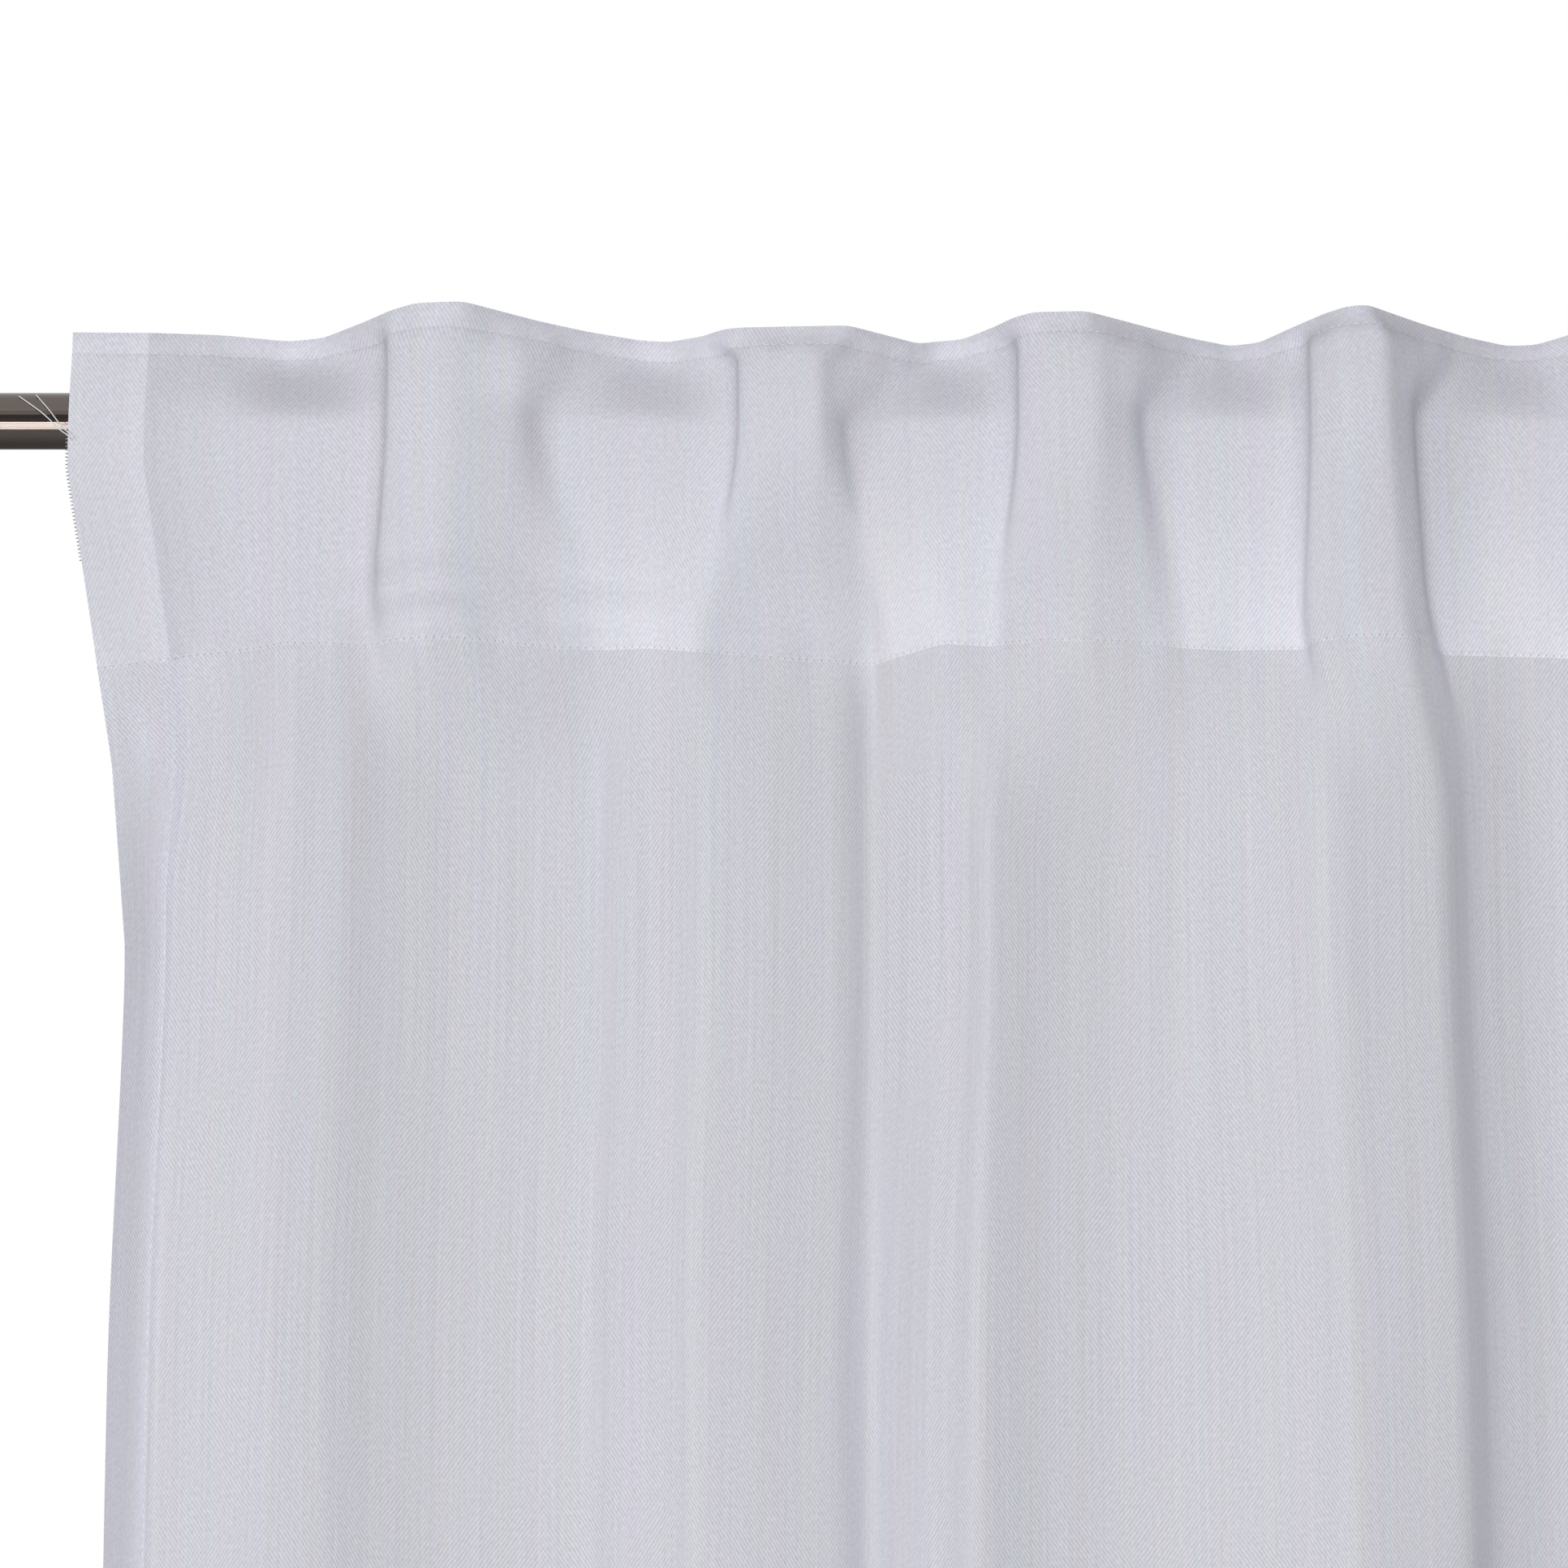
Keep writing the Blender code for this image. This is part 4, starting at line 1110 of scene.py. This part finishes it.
# %% [markdown]
# Every kind of stitch is a row in a table, and every seam is a line on the flat cloth, with how
# deep it lies. A point of the flat cloth is found on the folds between the nearest four points
# of the grid. The heading is sewn through to the back, where the tape shows the other side of
# the same stitches.


# %% Seams on the cloth
Stitch = namedtuple("Stitch", "pitch along across high seed")
HEADING_STITCH = Stitch(STITCH_PITCH, 0.0025, 0.00038, 0.00024, 3)
HEADING_STITCH_BEHIND = Stitch(STITCH_PITCH, 0.0025, 0.0005, 0.0004, 4)
SIDE_HEM_STITCH = Stitch(0.0034, 0.0028, 0.00042, 0.0003, 5)
FOOT_HEM_STITCH = Stitch(0.0034, 0.0028, 0.00045, 0.0003, 6)
TACK_STITCH = Stitch(0.0021, 0.0018, 0.0005, 0.0004, 7)
WEFT_END = Stitch(0.0013, 0.0006, 0.0022, 0.0005, 8)
THREAD_COLOUR = (0.86, 0.86, 0.91)
# The weft ends' dark grey is painted shade.
WEFT_PAINTED_SHADE_COLOUR = (0.34, 0.34, 0.36)


def on_cloth(across, down, depth, facing=-1.0):
    """Places on the folded cloth for flat coordinates, and the directions out of it."""
    across, down = np.broadcast_arrays(across, down)
    i = np.interp(down, cloth_v, np.arange(len(cloth_v)))
    j = np.interp(across, cloth_u, np.arange(len(cloth_u)))
    i0 = np.clip(i.astype(int), 0, len(cloth_v) - 2)
    j0 = np.clip(j.astype(int), 0, len(cloth_u) - 2)
    fi = (i - i0)[:, None]
    fj = (j - j0)[:, None]

    def blend(grid):
        above = grid[i0, j0] * (1 - fj) + grid[i0, j0 + 1] * fj
        under = grid[i0 + 1, j0] * (1 - fj) + grid[i0 + 1, j0 + 1] * fj
        return above * (1 - fi) + under * fi

    return blend(front + behind * depth), unit(blend(behind)) * facing


def polyline_object(name, lines):
    """A mesh of polylines, each with its points and its outward directions."""
    points = np.vstack([line[0] for line in lines])
    outward = np.vstack([line[1] for line in lines])
    edges = []
    start = 0
    for line in lines:
        count = len(line[0])
        edges += [(start + k, start + k + 1) for k in range(count - 1)]
        start += count
    mesh = bpy.data.meshes.new(name)
    mesh.from_pydata(points.tolist(), edges, [])
    attribute = mesh.attributes.new("outward", "FLOAT_VECTOR", "POINT")
    attribute.data.foreach_set("vector", outward.astype(np.float32).ravel())
    thing = bpy.data.objects.new(name, mesh)
    bpy.context.scene.collection.objects.link(thing)
    return thing


def made_real(thing):
    """Replace an object by a plain mesh of what its modifiers or its bevel give."""
    graph = bpy.context.evaluated_depsgraph_get()
    mesh = bpy.data.meshes.new_from_object(thing.evaluated_get(graph))
    name = thing.name
    bpy.data.objects.remove(thing, do_unlink=True)
    mesh.name = name
    real = bpy.data.objects.new(name, mesh)
    bpy.context.scene.collection.objects.link(real)
    return real


def sew(name, lines, material, stitch):
    """Lay stitches along lines with the stitch tree."""
    seam = polyline_object(name, lines)
    sewing = seam.modifiers.new("stitches", "NODES")
    sewing.node_group = stitches_tree
    values = {"Pitch": stitch.pitch, "Along": stitch.along, "Across": stitch.across,
              "High": stitch.high, "Seed": stitch.seed, "Thread": material}
    for item in stitches_tree.interface.items_tree:
        if item.in_out == "INPUT" and item.name in values:
            sewing[item.identifier] = values[item.name]
    sewn = made_real(seam)
    sewn.data.shade_smooth()
    print(f"{name}: {len(sewn.data.polygons)} faces")
    return sewn




def yarn_material(name, tint):
    """Twisted yarn of a colour."""
    material, yarn, shader = new_material(name, roughness=0.7, sheen_weight=0.3)
    spot = yarn.node("ShaderNodeTexCoord", output="Object")
    twist = yarn.noise(spot * 2600.0, 1.0, detail=2.0)
    tone = 0.86 + twist * 0.14
    feed(shader, base_color=yarn.vector(tone, tone, tone) * tint,
         roughness=0.55 + twist * 0.25, normal=yarn.bump(twist, 0.4, 0.0001))
    return material


thread = yarn_material("sewing_thread", THREAD_COLOUR)
shaded_weft_yarn = yarn_material("tape_weft", WEFT_PAINTED_SHADE_COLOUR)

FINE = 0.0012
SEAM_STARTS = 0.0015
across_line = np.arange(SEAM_STARTS, FLAT_WIDTH - SEAM_STARTS, FINE)
down_line = np.arange(SEAM_STARTS, DROP - SEAM_STARTS, FINE)
FRONT_DEPTH = SHEET_DEPTH - 0.00006
BACK_DEPTH = TAPE_DEPTH + TAPE_THICKNESS / 2
HEM_STITCH = SIDE_HEM - 0.0012
heading_seams = [on_cloth(across_line, TOP_SEAM_DEPTH, FRONT_DEPTH),
                 on_cloth(across_line, BOTTOM_SEAM_DEPTH, FRONT_DEPTH)]
back_seams = [on_cloth(across_line, TOP_SEAM_DEPTH + 0.0006, BACK_DEPTH, 1.0),
              on_cloth(across_line, BOTTOM_SEAM_DEPTH, BACK_DEPTH, 1.0)]
side_seams = [on_cloth(HEM_STITCH, down_line, FRONT_DEPTH),
              on_cloth(FLAT_WIDTH - HEM_STITCH, down_line, FRONT_DEPTH)]
foot_seams = [on_cloth(across_line, DROP - BOTTOM_HEM + 0.0012, FRONT_DEPTH)]
stitches = [
    sew("heading_stitches", heading_seams, thread, HEADING_STITCH),
    sew("heading_stitches_behind", back_seams, thread, HEADING_STITCH_BEHIND),
    sew("side_hem_stitches", side_seams, thread, SIDE_HEM_STITCH),
    sew("foot_hem_stitches", foot_seams, thread, FOOT_HEM_STITCH),
]

# %% [markdown]
# Two more rows use the same tree. The loops are tacked down with short close stitches at both of
# their ends. At the panel's left edge the cut end of the tape peeps out from the side hem, where
# its weft ends stand out like the teeth of a comb: a bead that is wide across the line and short
# along it. Their dark grey is painted shade.

# %% Tacks on the loops and the tape's cut end
TACK_ROWS = (1, 3, -2, -4)
tack_lines = []
for band in loops:
    flat_points = np.empty(len(band.data.vertices) * 3)
    band.data.vertices.foreach_get("co", flat_points)
    grid = flat_points.reshape(-1, LOOP_STATIONS, 3)
    for row in TACK_ROWS:
        line = grid[row, 1:-1] + (0.0, LOOP_THICKNESS / 2, 0.0)
        tack_lines.append((line, np.tile((0.0, 1.0, 0.0), (len(line), 1))))
tacks = sew("loop_tacks", tack_lines, thread, TACK_STITCH)
FRINGE_TOP = 0.038
FRINGE_BOTTOM = 0.081
end_line = np.arange(FRINGE_TOP, FRINGE_BOTTOM, FINE)
fringe_line = [on_cloth(0.0, end_line, TAPE_DEPTH - 0.0004)]
fringe = sew("tape_weft_ends", fringe_line, shaded_weft_yarn, WEFT_END)

# %% [markdown]
# ## Loose threads
# The photo shows two thin threads that hang out of the side hem and lie against the rod, and one
# that curls beside the hem further down. They are short sewing ends, drawn as fine round tubes.
# A curve with a bevel gives them their thickness, and is then made a plain mesh.

# %% Thread ends
THREAD_RADIUS = 0.00019
Thread = namedtuple("Thread", "name points")
THREADS = (
    Thread("thread_end_long", ((2, 16.6, -12.6), (-2, 16.2, -10.4), (-5, 13.4, -6.4),
                               (-9, 10.9, -1.2), (-14, 10.2, 2.6), (-18, 8.4, 6.2))),
    Thread("thread_end_short", ((2, 16.6, -12.0), (-1, 16.4, -9.8), (-4, 13.0, -5.0),
                                (-7, 10.7, 0.2), (-10, 9.8, 3.8), (-12, 8.0, 6.8))),
)
HEM_CURL = ((0.0275, 0.247), (0.0300, 0.250), (0.0309, 0.254), (0.0300, 0.258),
            (0.0287, 0.262), (0.0290, 0.266), (0.0304, 0.268))


def make_thread(name, points):
    """A fine round thread along a smooth curve through the points."""
    curve = bpy.data.curves.new(name, "CURVE")
    curve.dimensions = "3D"
    curve.bevel_depth = THREAD_RADIUS
    curve.bevel_resolution = 2
    curve.resolution_u = 10
    curve.use_fill_caps = True
    spline = curve.splines.new("NURBS")
    spline.points.add(len(points) - 1)
    for control, point in zip(spline.points, points):
        control.co = (*point, 1.0)
    spline.order_u = 4
    spline.use_endpoint_u = True
    thing = bpy.data.objects.new(name, curve)
    bpy.context.scene.collection.objects.link(thing)
    real = made_real(thing)
    real.data.materials.clear()
    real.data.materials.append(thread)
    real.data.shade_smooth()
    return real


threads = []
for row in THREADS:
    points = [(PANEL_LEFT + x * MM, -out * MM, z * MM) for x, out, z in row.points]
    threads.append(make_thread(row.name, points))
curl_points, _ = on_cloth(*np.array(HEM_CURL).T, FRONT_DEPTH - 0.0002)
threads.append(make_thread("thread_end_hem", curl_points.tolist()))
print("threads:", [thing.name for thing in threads])

# %% [markdown]
# ## The rod
# The rod is plain brushed steel. It is rigid and its solid is right, so it is kept and only gets
# its finish: fine streaks along its length, which vary both its tone and its gloss. Noise that
# is stretched along X gives those streaks, and the lamps do the rest.

# %% Brushed steel
STEEL_COLOUR = (0.150, 0.128, 0.114)
steel, metal, steel_shader = new_material("brushed_steel", metallic=1.0)
spot = metal.node("ShaderNodeTexCoord", output="Object")
streaks = metal.noise(spot * (14.0, 1500.0, 1500.0), 1.0, detail=4.0, roughness=0.6)
cloudy = metal.noise(spot * (9.0, 40.0, 40.0), 1.0, detail=3.0)
tone = 0.80 + streaks * 0.28 + cloudy * 0.12
feed(steel_shader, base_color=metal.vector(tone, tone, tone) * STEEL_COLOUR,
     roughness=0.13 + streaks * 0.07 + cloudy * 0.03,
     normal=metal.bump(streaks, 0.25, 0.00006))
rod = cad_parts["rod"]
rod.data.materials.clear()
rod.data.materials.append(steel)
print("rod finished in", steel.name)

# %% [markdown]
# ## The floor
# A plain pale floor lies just below the hem. It is out of the main picture, and gives the other
# views a ground.

# %% Floor
FLOOR_SIZE = 7.0
FLOOR_GAP = 0.03
floor_stuff, dust, floor_shader = new_material("pale_floor", roughness=0.9)
spot = dust.node("ShaderNodeTexCoord", output="Object")
patches = dust.noise(spot * 3.0, 1.0, detail=4.0)
pale = 0.90 + patches * 0.06
feed(floor_shader, base_color=dust.vector(pale, pale, pale), roughness=0.86 + patches * 0.08)
half = FLOOR_SIZE / 2
ground = BOTTOM_EDGE - FLOOR_GAP
floor_mesh = bpy.data.meshes.new("floor")
floor_mesh.from_pydata([(-half, -half, ground), (half, -half, ground), (half, half, ground),
                        (-half, half, ground)], [], [(0, 1, 2, 3)])
floor_mesh.materials.append(floor_stuff)
floor = bpy.data.objects.new("floor", floor_mesh)
bpy.context.scene.collection.objects.link(floor)
print(f"floor at {ground:.2f} m")

# %% [markdown]
# ## What each piece stands for
# Nothing here moves, so every piece rides on the one body. The sheet takes the place of the
# panel's solid, the tape and the bands that of theirs.

# %% Ride and replace
for thing in [panel, tape, tacks, fringe, *loops, *stitches, *threads]:
    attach(thing, "root")
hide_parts("curtain_panel")
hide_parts("heading_tape")
for name, band in zip(loop_names, loops):
    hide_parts(name)
